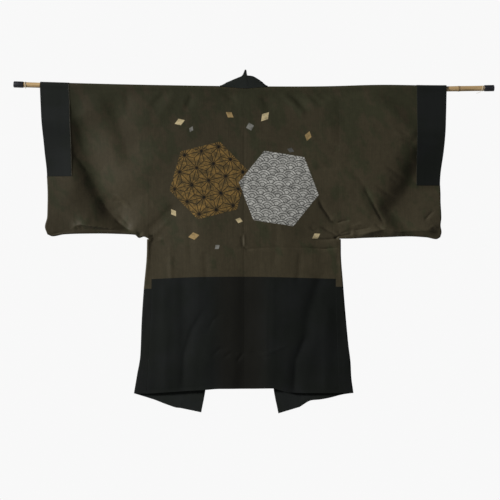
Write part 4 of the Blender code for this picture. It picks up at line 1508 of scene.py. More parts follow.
@dataclass(frozen=True)
class FasteningLoop:
    """The small twisted cord loop on the collar's free edge that a tie hooks into."""

    side: Side
    strand: float = 0.00072
    lay: float = 0.9                # distance of a strand from the cord's middle, in strand radii
    turns: float = 6.0
    steps: int = 72

    def build(self, wardrobe: "Wardrobe") -> None:
        """Make the loop of two strands twisted about each other."""
        share = np.linspace(0.0, 1.0, self.steps + 1)
        angle = np.pi * share
        z = LOOP_Z + LOOP_RADIUS * np.cos(angle)
        free_x = x_at(self.side.collar_free, z)
        y = FORM.points(Wall.FRONT, free_x, z)[:, 1] + COLLAR_CLOTH / 2.0
        x = free_x - self.side.sign * (LOOP_GAP + LOOP_RADIUS * np.sin(angle))
        middle = np.stack([x, y, z], axis=-1)
        outward = np.stack([-self.side.sign * np.sin(angle), 0.0 * angle, np.cos(angle)], axis=-1)
        lines = []
        for start in (0.0, np.pi):
            twist = math.tau * self.turns * share + start
            aside = outward * np.cos(twist)[:, None] + np.array([0.0, 1.0, 0.0]) * np.sin(twist)[:, None]
            lines.append(middle + aside * self.strand * self.lay)
        piece = Tube(f"loop_{self.side.name}_cord", tuple(lines), self.strand).build(wardrobe.cord)
        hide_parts(f"loop_{self.side.name}")
        report(piece)


# --- The rod ---


def rod_point(x: float) -> Vector:
    """A point of the rod's axis."""
    return Vector((x, 0.0, rod_z(x)))


@dataclass(frozen=True)
class BambooRod:
    """The bamboo cane, its end caps and the threads tied beside them."""

    knots: tuple[float, ...] = (-0.5650, -0.3420, -0.1040, 0.1490, 0.4180, 0.6905)
    around: int = 28
    knot_profile: tuple[tuple[float, float], ...] = (
        (-0.0080, 1.000), (-0.0035, 1.030), (-0.0016, 1.085), (-0.0006, 1.090), (0.0000, 1.000),
        (0.0006, 1.060), (0.0020, 1.045), (0.0060, 1.000),
    )
    plain_step: float = 0.0350
    plain_share: float = 0.990
    knot_clear: float = 0.012
    cap_run: float = 0.010          # stretch of the rod that gives a cap its direction
    cap_bevel: float = 0.0024
    cap_rim: float = 0.0032         # from the cap's edge to the ring on its end
    cap_ring: float = 0.0008
    cap_ring_depth: float = 0.0005
    thread: float = 0.00055
    thread_pitch: float = 2.1       # from turn to turn, in thread radii
    thread_seat: float = 0.8
    turn_steps: int = 24

    def profile(self) -> list[tuple[float, float]]:
        """Stations along the cane, as x and the share of its radius."""
        rows = [(ROD_LEFT_END, 1.0), (ROD_RIGHT_END, 1.0)]
        for knot in self.knots:
            rows += [(knot + offset, share) for offset, share in self.knot_profile]
        at = ROD_LEFT_END + self.plain_step
        while at < ROD_RIGHT_END - self.plain_step / 2.0:
            if min(abs(at - knot) for knot in self.knots) > self.knot_clear:
                rows.append((at, self.plain_share))
            at += self.plain_step
        return sorted(rows)

    def cane(self, wardrobe: "Wardrobe") -> None:
        """Extrude the cane from its left end, wider at each knot."""
        rows = self.profile()
        bpy.ops.object.select_all(action="DESELECT")
        bpy.ops.mesh.primitive_circle_add(
            vertices=self.around, radius=ROD_RADIUS, fill_type="NGON",
            location=rod_point(rows[0][0]), rotation=(0.0, math.radians(90.0), 0.0),
        )
        cane = bpy.context.object
        cane.name = "bamboo_cane"
        bpy.ops.object.mode_set(mode="EDIT")
        bpy.ops.mesh.select_all(action="SELECT")
        for (before, width), (after, next_width) in zip(rows, rows[1:]):
            move = rod_point(after) - rod_point(before)
            bpy.ops.mesh.extrude_region_move(TRANSFORM_OT_translate={"value": tuple(move)})
            scale = next_width / width
            bpy.ops.transform.resize(value=(1.0, scale, scale), center_override=tuple(rod_point(after)))
        bpy.ops.mesh.select_all(action="SELECT")
        bpy.ops.mesh.normals_make_consistent(inside=False)
        bpy.ops.object.mode_set(mode="OBJECT")
        self.settle(cane)
        bpy.ops.object.shade_smooth_by_angle(angle=math.radians(50.0))
        cane.data.materials.append(wardrobe.bamboo)
        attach(cane, "root")
        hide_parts("rod")
        report(cane)

    @staticmethod
    def settle(piece: Piece) -> None:
        """Put a piece's place and turn into its mesh."""
        only(piece)
        bpy.ops.object.transform_apply(location=True, rotation=True, scale=True)

    def cap(self, name: str, end_x: float, away: int, wardrobe: "Wardrobe") -> None:
        """Model one end cap: a cylinder with rounded edges and a shallow ring on its end.

        Args:
            name: Which end of the rod.
            end_x: Where the cane ends.
            away: 1 or -1, the direction away from the cane.
            wardrobe: The jacket's materials.
        """
        direction = (rod_point(end_x) - rod_point(end_x - away * self.cap_run)).normalized()
        middle = rod_point(end_x) + direction * (SEAM_GAP + CAP_LENGTH / 2.0)
        turn = direction.to_track_quat("Z", "Y").to_euler()
        bpy.ops.object.select_all(action="DESELECT")
        bpy.ops.mesh.primitive_cylinder_add(
            vertices=40, radius=CAP_RADIUS, depth=CAP_LENGTH, location=middle, rotation=turn
        )
        cap = bpy.context.object
        cap.name = f"end_cap_{name}"
        self.settle(cap)
        bpy.ops.object.mode_set(mode="EDIT")
        bpy.ops.mesh.select_all(action="DESELECT")
        bpy.ops.object.mode_set(mode="OBJECT")
        for face in cap.data.polygons:
            face.select = face.normal.dot(direction) > 0.9
        bpy.ops.object.mode_set(mode="EDIT")
        bpy.ops.mesh.select_mode(type="FACE")
        bpy.ops.mesh.inset(thickness=self.cap_rim, depth=0.0)
        bpy.ops.mesh.inset(thickness=self.cap_ring, depth=-self.cap_ring_depth)
        bpy.ops.object.mode_set(mode="OBJECT")
        bevel = cap.modifiers.new("rounded", "BEVEL")
        bevel.width = self.cap_bevel
        bevel.segments = 4
        bevel.limit_method = "ANGLE"
        bevel.angle_limit = math.radians(60.0)
        apply_all(cap)
        bpy.ops.object.shade_smooth_by_angle(angle=math.radians(40.0))
        cap.data.materials.append(wardrobe.cap)
        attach(cap, "root")
        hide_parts(f"rod_cap_{name}")
        report(cap)

    def tie(
        self, name: str, start_x: float, end_x: float, tail: Sequence[tuple], wardrobe: "Wardrobe"
    ) -> None:
        """Wind a thread around the cane beside a cap, and let its end hang.

        Args:
            name: Which end of the rod.
            start_x: Where the winding starts.
            end_x: Where it ends.
            tail: The points of the hanging end, as x, y, z in millimetres.
            wardrobe: The jacket's materials.
        """
        turns = max(2, round(abs(end_x - start_x) / (self.thread_pitch * self.thread)))
        share = np.linspace(0.0, 1.0, turns * self.turn_steps + 1)
        angle = math.tau * turns * share
        x = lerp(start_x, end_x, share)
        reach = ROD_RADIUS + self.thread * self.thread_seat
        line = np.stack([x, -reach * np.cos(angle), rod_z(x) + reach * np.sin(angle)], axis=-1)
        lines = (line, np.array(tail) / PER_METRE)
        piece = Tube(f"thread_{name}", lines, self.thread).build(wardrobe.thread_pale)
        report(piece)

    def build(self, wardrobe: "Wardrobe") -> None:
        """Make the cane, both caps and both threads."""
        self.cane(wardrobe)
        self.cap("left", ROD_LEFT_END, -1, wardrobe)
        self.cap("right", ROD_RIGHT_END, 1, wardrobe)
        self.tie(
            "left", -0.7028, -0.6990,
            ((-699.2, -7.0, 12.0), (-699.0, -8.6, 8.5), (-699.4, -8.0, 5.0), (-700.0, -7.2, 2.6)),
            wardrobe,
        )
        self.tie(
            "right", 0.7672, 0.7650,
            ((765.0, -7.9, 2.0), (762.8, -8.4, -3.0), (758.0, -7.6, -7.5), (752.0, -6.2, -10.5),
             (746.2, -5.2, -12.2)),
            wardrobe,
        )


# --- Materials ---

Colour = tuple[float, float, float]
Paint = Union[Colour, Link]
Value = Union["Socket", float]


@dataclass(frozen=True)
class Socket:
    """A number in a shader that can be calculated with."""

    shader: "Shader"
    link: Link

    def math(self, operation: str, *others: Value) -> "Socket":
        """Add a Math node that takes this number first."""
        return self.shader.math(operation, self, *others)

    def __add__(self, other: Value) -> "Socket":
        """Sum."""
        return self.math("ADD", other)

    __radd__ = __add__

    def __sub__(self, other: Value) -> "Socket":
        """Difference."""
        return self.math("SUBTRACT", other)

    def __rsub__(self, other: Value) -> "Socket":
        """Difference from a plain number."""
        return self.shader.math("SUBTRACT", other, self)

    def __mul__(self, other: Value) -> "Socket":
        """Product."""
        return self.math("MULTIPLY", other)

    __rmul__ = __mul__

    def __truediv__(self, other: Value) -> "Socket":
        """Quotient."""
        return self.math("DIVIDE", other)

    def __rtruediv__(self, other: Value) -> "Socket":
        """Quotient of a plain number."""
        return self.shader.math("DIVIDE", other, self)

    def __abs__(self) -> "Socket":
        """Absolute value."""
        return self.math("ABSOLUTE")

    def low(self, other: Value) -> "Socket":
        """The lesser of two numbers."""
        return self.math("MINIMUM", other)

    def high(self, other: Value) -> "Socket":
        """The greater of two numbers."""
        return self.math("MAXIMUM", other)

    def less(self, other: Value) -> "Socket":
        """1 where this number is the lesser, else 0."""
        return self.math("LESS_THAN", other)

    def floor(self) -> "Socket":
        """Whole part."""
        return self.math("FLOOR")

    def fract(self) -> "Socket":
        """Part after the point."""
        return self.math("FRACT")

    def sine(self) -> "Socket":
        """Sine."""
        return self.math("SINE")

    def root(self) -> "Socket":
        """Square root."""
        return self.math("SQRT")

    def ramp(self, start: float, end: float, low: float = 0.0, high: float = 1.0) -> "Socket":
        """Go smoothly from low at start to high at end.

        Args:
            start: Where it leaves low.
            end: Where it reaches high.
            low: The first value.
            high: The last value.

        Returns:
            The value in between.
        """
        node = self.shader.node(
            "ShaderNodeMapRange",
            {"interpolation_type": "SMOOTHSTEP"},
            {"Value": self, "From Min": start, "From Max": end, "To Min": low, "To Max": high},
        )
        return Socket(self.shader, node.outputs["Result"])


class Shader:
    """Builds one material out of nodes."""

    def __init__(self, name: str) -> None:
        """Start an empty material."""
        self.material = bpy.data.materials.new(name)
        self.material.use_nodes = True
        self.tree = self.material.node_tree
        self.tree.nodes.clear()

    def node(
        self, kind: str, settings: Optional[dict] = None, sockets: Optional[dict] = None
    ) -> bpy.types.Node:
        """Add a node.

        Args:
            kind: The node's type.
            settings: Its own settings, which are set first.
            sockets: Values or links of its inputs, by name or number.

        Returns:
            The new node.
        """
        node = self.tree.nodes.new(kind)
        for key, value in (settings or {}).items():
            setattr(node, key, value)
        for key, value in (sockets or {}).items():
            if isinstance(value, Socket):
                value = value.link
            if isinstance(value, Link):
                self.tree.links.new(value, node.inputs[key])
            else:
                node.inputs[key].default_value = value
        return node

    def math(self, operation: str, *values: Value) -> Socket:
        """Add a Math node."""
        node = self.node("ShaderNodeMath", {"operation": operation}, dict(enumerate(values)))
        return Socket(self, node.outputs[0])

    def where(self) -> Link:
        """The point in metres."""
        return self.node("ShaderNodeTexCoord").outputs["Object"]

    def place(self) -> tuple[Socket, Socket, Socket]:
        """The point's x, y and z in metres."""
        split = self.node("ShaderNodeSeparateXYZ", None, {0: self.where()})
        return tuple(Socket(self, split.outputs[i]) for i in range(3))

    def cloth_place(self) -> tuple[Socket, Socket]:
        """The point's place on the flat cloth in metres, across and along."""
        link = self.node("ShaderNodeUVMap", {"uv_map": "cloth"}).outputs["UV"]
        split = self.node("ShaderNodeSeparateXYZ", None, {0: link})
        return Socket(self, split.outputs[0]), Socket(self, split.outputs[1])

    def vector(self, x: Value, y: Value, z: Value = 0.0) -> Link:
        """Join three numbers to a vector."""
        return self.node("ShaderNodeCombineXYZ", None, {0: x, 1: y, 2: z}).outputs[0]

    def noise(
        self, vector: Link, scale: float, detail: float = 2.0, rough: float = 0.5
    ) -> Socket:
        """Noise from 0 to 1 at a vector.

        Args:
            vector: Where it is read.
            scale: How fine it is.
            detail: Its number of layers.
            rough: Strength of the finer layers.

        Returns:
            The noise.
        """
        node = self.node(
            "ShaderNodeTexNoise",
            {"noise_dimensions": "3D"},
            {"Vector": vector, "Scale": scale, "Detail": detail, "Roughness": rough},
        )
        return Socket(self, node.outputs[0])

    def mix(self, part: Value, first: Paint, second: Paint, blend: str = "MIX") -> Link:
        """Mix two colours.

        Args:
            part: Share of the second colour.
            first: The first colour.
            second: The second colour.
            blend: The way of mixing.

        Returns:
            The mixed colour.
        """
        colours = [(*c, 1.0) if isinstance(c, tuple) else c for c in (first, second)]
        node = self.node(
            "ShaderNodeMix",
            {"data_type": "RGBA", "blend_type": blend},
            {0: part, 6: colours[0], 7: colours[1]},
        )
        return node.outputs[2]

    def shade(self, colour: Link, factor: Socket) -> Link:
        """Multiply a colour by a number."""
        grey = self.vector(factor, factor, factor)
        return self.mix(1.0, colour, grey, "MULTIPLY")

    def finish(self, sockets: dict, heights: Sequence[tuple[Socket, float]] = ()) -> Material:
        """Close the material with a Principled shader.

        Args:
            sockets: Values or links of the shader's sockets.
            heights: Pairs of a height and the distance in metres that it stands for.

        Returns:
            The material.
        """
        normal = None
        for height, distance in heights:
            inputs = {"Height": height, "Distance": distance, "Strength": 1.0}
            if normal is not None:
                inputs["Normal"] = normal
            normal = self.node("ShaderNodeBump", None, inputs).outputs["Normal"]
        if normal is not None:
            sockets = {**sockets, "Normal": normal}
        shader = self.node("ShaderNodeBsdfPrincipled", None, sockets)
        self.node("ShaderNodeOutputMaterial", None, {"Surface": shader.outputs[0]})
        return self.material


def turned(x: Socket, z: Socket, middle: Spot, degrees: float) -> tuple[Socket, Socket]:
    """Coordinates about a middle, turned."""
    c, s = math.cos(math.radians(degrees)), math.sin(math.radians(degrees))
    dx, dz = x - middle.x, z - middle.z
    return dx * c + dz * s, dz * c - dx * s


@dataclass(frozen=True)
class Hexagon:
    """A hexagonal sheet of leaf on the lining.

    Attributes:
        x: Its centre's x.
        z: Its centre's height.
        reach: Distance from its centre to a side.
        turn: Its turn in degrees.
        soft: Half the width of its soft edge.
    """

    x: float
    z: float
    reach: float
    turn: float
    soft: float = 0.0006

    def local(self, x: Socket, z: Socket) -> tuple[Socket, Socket]:
        """Coordinates about its centre, turned with it."""
        return turned(x, z, Spot(self.x, self.z), self.turn)

    def mask(self, u: Socket, v: Socket, fray: Socket) -> Socket:
        """1 on the hexagon, 0 off it."""
        third = math.sqrt(3.0) / 2.0
        far = abs(v).high(abs(u * third + v * 0.5)).high(abs(u * third - v * 0.5))
        return (far + fray).ramp(self.reach + self.soft, self.reach - self.soft)


@dataclass(frozen=True)
class Leaf:
    """A small lozenge of cut leaf."""

    x: float
    z: float
    long: float
    wide: float
    turn: float
    tone: Colour


# Colours are linear
CREAM: Colour = (0.46, 0.38, 0.22)
TAN: Colour = (0.27, 0.19, 0.085)
GREY: Colour = (0.17, 0.17, 0.155)
SMOKE: Colour = (0.085, 0.085, 0.080)

LEAVES = (
    Leaf(-0.205, -0.105, 0.017, 0.011, 20.0, CREAM),
    Leaf(-0.168, -0.128, 0.010, 0.007, 65.0, GREY),
    Leaf(-0.045, -0.082, 0.015, 0.010, -35.0, TAN),
    Leaf(0.020, -0.120, 0.013, 0.013, 15.0, GREY),
    Leaf(0.068, -0.088, 0.019, 0.012, 50.0, CREAM),
    Leaf(0.150, -0.195, 0.012, 0.008, -20.0, SMOKE),
    Leaf(0.206, -0.150, 0.016, 0.011, 75.0, TAN),
    Leaf(-0.225, -0.395, 0.014, 0.009, -55.0, CREAM),
    Leaf(-0.160, -0.470, 0.018, 0.012, 10.0, TAN),
    Leaf(-0.085, -0.505, 0.010, 0.008, 40.0, GREY),
    Leaf(-0.015, -0.420, 0.012, 0.009, -15.0, CREAM),
    Leaf(0.232, -0.470, 0.015, 0.010, 30.0, CREAM),
)


@dataclass(frozen=True)
class LiningDesign:
    """The generic design on the back of the lining: two hexagons of leaf, and cut leaf around them.

    The gold one bears the hemp leaf pattern and the silver one the wave pattern.
    """

    gold: Hexagon = Hexagon(-0.112, -0.292, 0.112, 14.0)
    silver: Hexagon = Hexagon(0.112, -0.318, 0.112, -9.0)
    gold_tone: Colour = (0.235, 0.145, 0.046)
    gold_worn: Colour = (0.080, 0.058, 0.026)
    silver_tone: Colour = (0.56, 0.56, 0.53)
    silver_worn: Colour = (0.24, 0.24, 0.225)
    ink: Colour = (0.011, 0.011, 0.010)
    fray: float = 0.0022
    hemp_size: float = 0.0560
    hemp_line: tuple[float, float] = (0.0013, 0.0007)
    wave_size: float = 0.0270
    wave_rings: tuple[float, ...] = (0.965, 0.70, 0.42)
    wave_line: tuple[float, float] = (0.042, 0.022)

    def hemp_lines(self, u: Socket, v: Socket) -> Socket:
        """1 on the lines of the hemp leaf pattern: twelve rays from each point of a triangular grid.

        Args:
            u: Place across.
            v: Place up.

        Returns:
            The mask of the lines.
        """
        size, tall = self.hemp_size, self.hemp_size * math.sqrt(3.0)

        def cell(a: Socket, length: float, shift: float) -> Socket:
            """Place within the grid's cell, from its middle."""
            return ((a / length + shift).fract() - 0.5) * length

        first = (cell(u, size, 0.5), cell(v, tall, 0.5))
        second = (cell(u, size, 0.0), cell(v, tall, 0.0))
        square = [place[0] * place[0] + place[1] * place[1] for place in (first, second)]
        near = square[0].less(square[1])
        a = second[0] + near * (first[0] - second[0])
        b = second[1] + near * (first[1] - second[1])
        gap = None
        for step in range(6):
            angle = math.radians(30.0 * step)
            line = abs(a * math.sin(angle) - b * math.cos(angle))
            gap = line if gap is None else gap.low(line)
        return gap.ramp(*self.hemp_line)

    def wave_lines(self, u: Socket, v: Socket) -> Socket:
        """1 on the lines of the wave pattern: rows of overlapping rings.

        Args:
            u: Place across.
            v: Place up.

        Returns:
            The mask of the lines.
        """
        size = self.wave_size
        row = (v / (size / 2.0)).floor()
        result = None
        for offset in (1.0, 0.0, -1.0):
            this = row + offset
            shift = (this * 0.5).fract()
            across = ((u / (2.0 * size) + shift + 0.5).fract() - 0.5) * (2.0 * size)
            up = v - this * (size / 2.0)
            reach = (across * across + up * up).root() / size
            lines = None
            for ring in self.wave_rings:
                line = abs(reach - ring)
                lines = line if lines is None else lines.low(line)
            ink = lines.ramp(*self.wave_line)
            inside = reach.less(1.0)
            result = ink if result is None else result + inside * (ink - result)
        return result

    def leaf_mask(self, leaf: Leaf, x: Socket, z: Socket) -> Socket:
        """1 on a lozenge, 0 off it."""
        u, v = turned(x, z, Spot(leaf.x, leaf.z), leaf.turn)
        return (abs(u) / leaf.long + abs(v) / leaf.wide).ramp(1.06, 0.98)


@dataclass(frozen=True)
class LiningSilk:
    """Satin silk lining, olive brown, with the design on its back."""

    green: Colour = (0.0264, 0.0262, 0.0140)
    brown: Colour = (0.0345, 0.0288, 0.0170)
    float_length: float = 0.00062
    float_slant: float = 0.42
    design: Optional[LiningDesign] = None

    def make(self, name: str) -> Material:
        """Build the material."""
        s = Shader(name)
        x, y, z = s.place()
        u, v = s.cloth_place()
        where = s.where()
        aslant = s.vector(x * 1.4 + z * 0.6, y, z * 0.8 - x * 0.3)
        broad = s.noise(aslant, 9.0, 4.0, 0.6)
        patch = s.noise(aslant, 27.0, 3.0, 0.6)
        cloudy = s.noise(where, 75.0, 4.0, 0.70)
        warp = s.noise(s.vector(u * 420.0, v * 9.0), 1.0, 3.0, 0.6)
        fine = s.noise(s.vector(u * 1400.0, v * 40.0), 1.0, 2.0)
        weft = s.noise(s.vector(u * 12.0, v * 520.0), 1.0, 2.0)
        greenish = (broad * 0.60 + patch * 0.40 + z * 0.16 + z.ramp(-0.14, -0.02) * 0.045).ramp(0.43, 0.55)
        colour = s.mix(greenish, self.brown, self.green)
        # Painted light and shade in the lining's colour: darker towards the top and at the left cuff,
        # lighter over the right half except at the right cuff, and lighter low on the right.
        upper = z.ramp(-0.32, -0.02, 0.92, 0.76)
        painted_shade_left_cuff = x.ramp(-0.58, -0.42) * 0.13
        painted_light_right_half = x.ramp(-0.05, 0.25) * 0.12
        painted_shade_right_cuff = x.ramp(0.42, 0.58) * 0.12
        painted_light_low_right = x.ramp(0.0, 0.15) * z.ramp(-0.52, -0.44, 0.07, 0.0)
        wear_and_painted_light = upper + painted_shade_left_cuff + painted_light_right_half - painted_shade_right_cuff + painted_light_low_right
        # Here the painted light and shade multiply the silk's colour, with its cloudy tone and weave.
        colour = s.shade(colour, wear_and_painted_light * (0.25 + cloudy * 0.52 + warp * 0.46 + fine * 0.44 + weft * 0.10))
        rough = 0.56 + (broad - 0.5) * 0.10 + (warp - 0.5) * 0.08
        metal: Value = 0.0
        float_line = (math.tau / self.float_length) * (u + v * self.float_slant)
        heights = [(float_line.sine() * 0.5 + 0.5, 0.00003), (warp, 0.00010), (cloudy, 0.00030)]
        if self.design:
            back = y.less(-0.004)
            colour, rough, metal, leaf = self.lay_design(s, x, z, back, colour, rough)
            heights.append((leaf, 0.00012))
        looks = {
            "Base Color": colour, "Roughness": rough, "Metallic": metal, "Specular IOR Level": 0.10,
            "Sheen Weight": 0.01, "Sheen Roughness": 0.45, "Sheen Tint": (0.62, 0.58, 0.44, 1.0),
        }
        return s.finish(looks, heights)

    def lay_design(
        self, s: Shader, x: Socket, z: Socket, back: Socket, colour: Link, rough: Socket
    ) -> tuple[Link, Socket, Socket, Socket]:
        """Lay the leaf on the silk.

        Args:
            s: The material's shader.
            x: The point's x.
            z: The point's height.
            back: 1 on the jacket's back.
            colour: The silk's colour.
            rough: The silk's roughness.

        Returns:
            The colour, roughness, metal and height with the leaf.
        """
        d = self.design
        flat = s.vector(x, z)
        fray = (s.noise(flat, 150.0, 3.0) - 0.5) * d.fray
        foil = s.noise(flat, 62.0, 5.0, 0.62)
        flakes = s.noise(flat, 230.0, 4.0, 0.6)
        crackle = Socket(s, s.node(
            "ShaderNodeTexVoronoi", {"feature": "DISTANCE_TO_EDGE"}, {"Vector": flat, "Scale": 95.0}
        ).outputs["Distance"])
        height: Value = 0.0
        metal: Value = 0.0
        for sheet, tone, wear_and_painted_light, lines in (
            (d.gold, d.gold_tone, d.gold_worn, d.hemp_lines),
            (d.silver, d.silver_tone, d.silver_worn, d.wave_lines),
        ):
            u, v = sheet.local(x, z)
            mask = sheet.mask(u, v, fray) * back
            wear = (foil * 0.62 + flakes * 0.38).ramp(0.40, 0.62)
            leafed = s.mix(wear, wear_and_painted_light, tone)
            leafed = s.shade(leafed, 0.80 + crackle.ramp(0.0, 0.06) * 0.20)
            broken = flakes.ramp(0.30, 0.42)
            leafed = s.mix(lines(u, v) * broken, leafed, d.ink)
            colour = s.mix(mask, colour, leafed)
            rough = rough + mask * (0.50 - rough)
            metal = mask * 0.35 + metal
            height = mask + height
        for leaf in LEAVES:
            mask = d.leaf_mask(leaf, x, z) * back
            tone = s.mix(foil.ramp(0.38, 0.60), tuple(c * 0.62 for c in leaf.tone), leaf.tone)
            colour = s.mix(mask, colour, tone)
            rough = rough + mask * (0.55 - rough)
            height = height + mask
        return colour, rough, metal, height


@dataclass(frozen=True)
class OuterSilk:
    """The black outer cloth: a plain weave with a slight crepe grain."""

    black: Colour = (0.0078, 0.0092, 0.0080)
    soft: Colour = (0.0091, 0.0102, 0.0100)
    brown_tint: Colour = (0.0092, 0.0088, 0.0070)
    thread_spacing: float = 0.00052

    def make(self, name: str) -> Material:
        """Build the material."""
        s = Shader(name)
        x, y, z = s.place()
        u, v = s.cloth_place()
        where = s.where()
        broad = s.noise(where, 9.0, 3.0, 0.55)
        crepe = s.noise(where, 620.0, 3.0, 0.6)
        slub = s.noise(s.vector(u * 26.0, v * 480.0), 1.0, 3.0)
        streak = s.noise(s.vector(u * 75.0, v * 2.5), 1.0, 3.0, 0.6)
        period = math.tau / self.thread_spacing
        weave = (u * period).sine() * (v * period).sine() * 0.5 + 0.5
        colour = s.mix(broad.ramp(0.35, 0.65), self.black, self.soft)
        # A browner tone in the middle of the lower back.
        middle = x.ramp(-0.12, -0.05) * x.ramp(0.03, 0.10, 0.8, 0.0) * z.ramp(-0.60, -0.50, 1.0, 0.0)
        colour = s.mix(middle, colour, self.brown_tint)
        # Painted light on the black cloth: its upper part, the facings and the collar, is painted lighter,
        # less so at the left cuff and least on the right facing; the fronts' hems are painted lighter where
        # the back's hem shades them.
        right = x.ramp(0.30, 0.50) * 0.46
        painted_shade_left_cuff = x.ramp(-0.60, -0.50, 1.0, 0.0) * z.ramp(-0.32, 0.0, 0.32, 0.20)
        upper = z.ramp(-0.45, -0.32) * (0.60 - right - painted_shade_left_cuff)
        painted_light_front_hems = y.ramp(0.0, 0.004) * z.ramp(-0.955, -0.925, 1.0, 0.0)
        painted_light_front_hems = painted_light_front_hems * (0.50 - x.ramp(-0.1, 0.1) * 0.24)
        wear_and_painted_light = 0.93 + upper + painted_light_front_hems
        # Here the painted light multiplies the cloth's own grain, slubs and streaks.
        colour = s.shade(colour, wear_and_painted_light * (0.56 + slub * 0.24 + crepe * 0.36 + streak * 0.28))
        looks = {
            "Base Color": colour, "Roughness": 0.72 + (slub - 0.5) * 0.12, "Specular IOR Level": 0.06,
            "Sheen Weight": 0.01, "Sheen Roughness": 0.5, "Sheen Tint": (0.50, 0.55, 0.52, 1.0),
        }
        return s.finish(looks, [(weave, 0.00004), (crepe, 0.00008), (slub, 0.00006)])


@dataclass(frozen=True)
class Bamboo:
    """Aged bamboo: tan and golden, with long streaks and dark rings at the knots."""

    light: Colour = (0.50, 0.36, 0.19)
    tan: Colour = (0.31, 0.19, 0.075)
    dark: Colour = (0.055, 0.030, 0.014)
    olive: Colour = (0.13, 0.115, 0.045)

    def make(self, name: str, knots: Sequence[float]) -> Material:
        """Build the material, with a dark scar at each knot."""
        s = Shader(name)
        x, y, z = s.place()
        streak = s.noise(s.vector(x * 9.0, y * 420.0, z * 420.0), 1.0, 4.0, 0.6)
        fibre = s.noise(s.vector(x * 30.0, y * 1500.0, z * 1500.0), 1.0, 2.0)
        patch = s.noise(s.vector(x * 22.0, y * 60.0, z * 60.0), 1.0, 3.0)
        colour = s.mix(streak.ramp(0.30, 0.62), self.tan, self.light)
        colour = s.mix(patch.ramp(0.52, 0.74) * 0.6, colour, self.olive)
        scar = None
        for knot in knots:
            near = abs(x - knot)
            scar = near if scar is None else scar.low(near)
        stain = scar.ramp(0.0052, 0.0008) * (0.35 + 0.65 * streak.ramp(0.35, 0.6))
        colour = s.mix(stain * 0.75, colour, self.dark)
        colour = s.shade(colour, 0.86 + fibre * 0.28)
        rough = 0.36 + (streak - 0.5) * 0.2
        looks = {"Base Color": colour, "Roughness": rough, "Specular IOR Level": 0.5, "Coat Roughness": 0.3}
        return s.finish(looks, [(streak, 0.00010), (fibre, 0.00004)])


@dataclass(frozen=True)
class MouldedPlastic:
    """Matt black plastic with a fine moulded grain and rubbed edges."""

    black: Colour = (0.0075, 0.0080, 0.0120)
    rubbed: Colour = (0.024, 0.025, 0.032)

    def make(self, name: str) -> Material:
        """Build the material."""
        s = Shader(name)
        where = s.where()
        grain = s.noise(where, 1400.0, 2.0)
        scuff = s.noise(where, 160.0, 4.0, 0.65)
        colour = s.mix(scuff.ramp(0.52, 0.78), self.black, self.rubbed)
        looks = {"Base Color": colour, "Roughness": 0.38 + scuff * 0.22, "Specular IOR Level": 0.45}
        return s.finish(looks, [(grain, 0.00003), (scuff, 0.00005)])


@dataclass(frozen=True)
class TwistedThread:
    """Sewing thread or cord, with its twist and a little fluff."""

    tone: Colour
    deep: Colour
    pitch: float = 0.0011

    def make(self, name: str) -> Material:
        """Build the material."""
        s = Shader(name)
        x, y, z = s.place()
        where = s.where()
        ply = ((x + y * 0.7 + z * 0.8) * (math.tau / self.pitch)).sine() * 0.5 + 0.5
        fluff = s.noise(where, 900.0, 3.0, 0.6)
        colour = s.mix(ply * 0.7 + fluff * 0.3, self.deep, self.tone)
        looks = {
            "Base Color": colour, "Roughness": 0.62 + fluff * 0.2, "Specular IOR Level": 0.3,
            "Sheen Weight": 0.2, "Sheen Roughness": 0.5,
        }
        return s.finish(looks, [(ply, 0.00006), (fluff, 0.00004)])


class Wardrobe:
    """All the materials of the jacket and its rod, each made once."""

    def __init__(self, knots: Sequence[float]) -> None:
        """Make the materials.

        Args:
            knots: The x of each knot of the rod.
        """
        self.body_lining = LiningSilk(design=LiningDesign()).make("lining_silk_with_leaf")
        self.sleeve_lining = LiningSilk().make("lining_silk_plain")
        self.outer = OuterSilk().make("black_outer_silk")
        self.bamboo = Bamboo().make("aged_bamboo", knots)
        self.cap = MouldedPlastic().make("black_cap_plastic")
        self.thread = TwistedThread((0.075, 0.075, 0.062), (0.030, 0.030, 0.024)).make("basting_thread")
        # A paler copy of the basting thread, which paints a highlight on the left facing's stitches.
        self.thread_painted_highlight = TwistedThread((0.170, 0.160, 0.120), (0.085, 0.080, 0.060)).make("stitch_thread_painted_highlight")
        self.thread_pale = TwistedThread((0.62, 0.56, 0.44), (0.34, 0.29, 0.20)).make("pale_thread")
        self.cord = TwistedThread((0.020, 0.021, 0.019), (0.007, 0.007, 0.006), 0.0016).make("black_cord")

    def dress(self, piece: Piece, slot: Slot) -> None:
        """Give a cloth piece its outside finish first and its inside finish second."""
        outside = self.outer
        if slot is Slot.LINING:
            outside = self.body_lining if piece.name.startswith("body") else self.sleeve_lining
        piece.data.materials.append(outside)
        piece.data.materials.append(self.outer)


# --- Studio ---


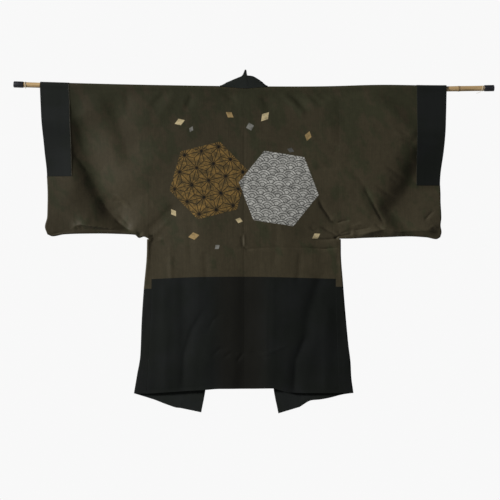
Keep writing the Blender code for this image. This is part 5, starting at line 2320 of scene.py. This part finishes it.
@dataclass(frozen=True)
class Studio:
    """A plain pale floor, soft light and the camera."""

    centre: tuple[float, float] = (0.0198, -0.5146)
    distance: float = 3.7910
    lens: float = 85.0
    floor_z: float = -2.6000
    floor_size: float = 3.6
    backdrop: float = 0.94
    ambient: float = 0.11

    def light(self, name: str, place: tuple, size: float, power: float, tone: Colour) -> None:
        """Add an area light that faces the jacket's middle.

        Args:
            name: The light's name.
            place: Where it stands.
            size: Its diameter.
            power: Its power in watts.
            tone: Its colour.
        """
        data = bpy.data.lights.new(name, "AREA")
        data.shape = "DISK"
        data.size = size
        data.energy = power
        data.color = tone
        lamp = added(name, data)
        lamp.location = place
        aim = Vector((self.centre[0], 0.0, self.centre[1])) - Vector(place)
        lamp.rotation_euler = aim.to_track_quat("-Z", "Y").to_euler()

    def floor(self) -> None:
        """Add the floor."""
        bpy.ops.object.select_all(action="DESELECT")
        bpy.ops.mesh.primitive_plane_add(size=self.floor_size, location=(0.0, 0.0, self.floor_z))
        floor = bpy.context.object
        floor.name = "studio_floor"
        s = Shader("pale_floor")
        cloudy = s.noise(s.where(), 3.0, 3.0)
        colour = s.mix(cloudy, (0.66, 0.66, 0.65), (0.70, 0.70, 0.69))
        floor.data.materials.append(s.finish({"Base Color": colour, "Roughness": 0.8}))

    def world(self) -> None:
        """Fill the room with even light, in front of a pale backdrop."""
        world = bpy.data.worlds.new("studio_world")
        world.use_nodes = True
        tree = world.node_tree
        tree.nodes["Background"].inputs["Color"].default_value = (1.0, 1.0, 1.0, 1.0)
        strength = tree.nodes.new("ShaderNodeMapRange")
        strength.inputs["To Min"].default_value = self.ambient
        strength.inputs["To Max"].default_value = self.backdrop
        path = tree.nodes.new("ShaderNodeLightPath")
        tree.links.new(path.outputs["Is Camera Ray"], strength.inputs["Value"])
        tree.links.new(strength.outputs["Result"], tree.nodes["Background"].inputs["Strength"])
        bpy.context.scene.world = world
        bpy.context.scene.view_settings.view_transform = "Standard"

    def camera(self) -> None:
        """Add the camera, level and square to the jacket's back."""
        data = bpy.data.cameras.new("camera")
        data.lens = self.lens
        data.clip_end = 50.0
        camera = added("camera", data)
        camera.location = (self.centre[0], -self.distance, self.centre[1])
        camera.rotation_euler = (math.radians(90.0), 0.0, 0.0)
        bpy.context.scene.camera = camera

    def build(self) -> None:
        """Set up the studio."""
        self.camera()
        self.world()
        self.floor()
        self.light("key", (-9.4, -3.5, 2.5), 1.6, 2400.0, (1.0, 0.99, 0.97))
        self.light("fill", (2.4, -2.8, 0.4), 2.0, 8.0, (0.97, 0.98, 1.0))


def main() -> None:
    """Build the jacket, its rod and the studio."""
    logging.basicConfig(level=logging.INFO, format="%(name)s %(message)s")
    Studio().build()
    rod = BambooRod()
    wardrobe = Wardrobe(rod.knots)
    for side in SIDES:
        BodyPanel(side).build(wardrobe)
        Gore(side).build(wardrobe)
        Sleeve(side).build(wardrobe)
        FasteningLoop(side).build(wardrobe)
    Collar().build(wardrobe)
    rod.build(wardrobe)
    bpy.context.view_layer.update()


if __name__ == "__main__":
    main()
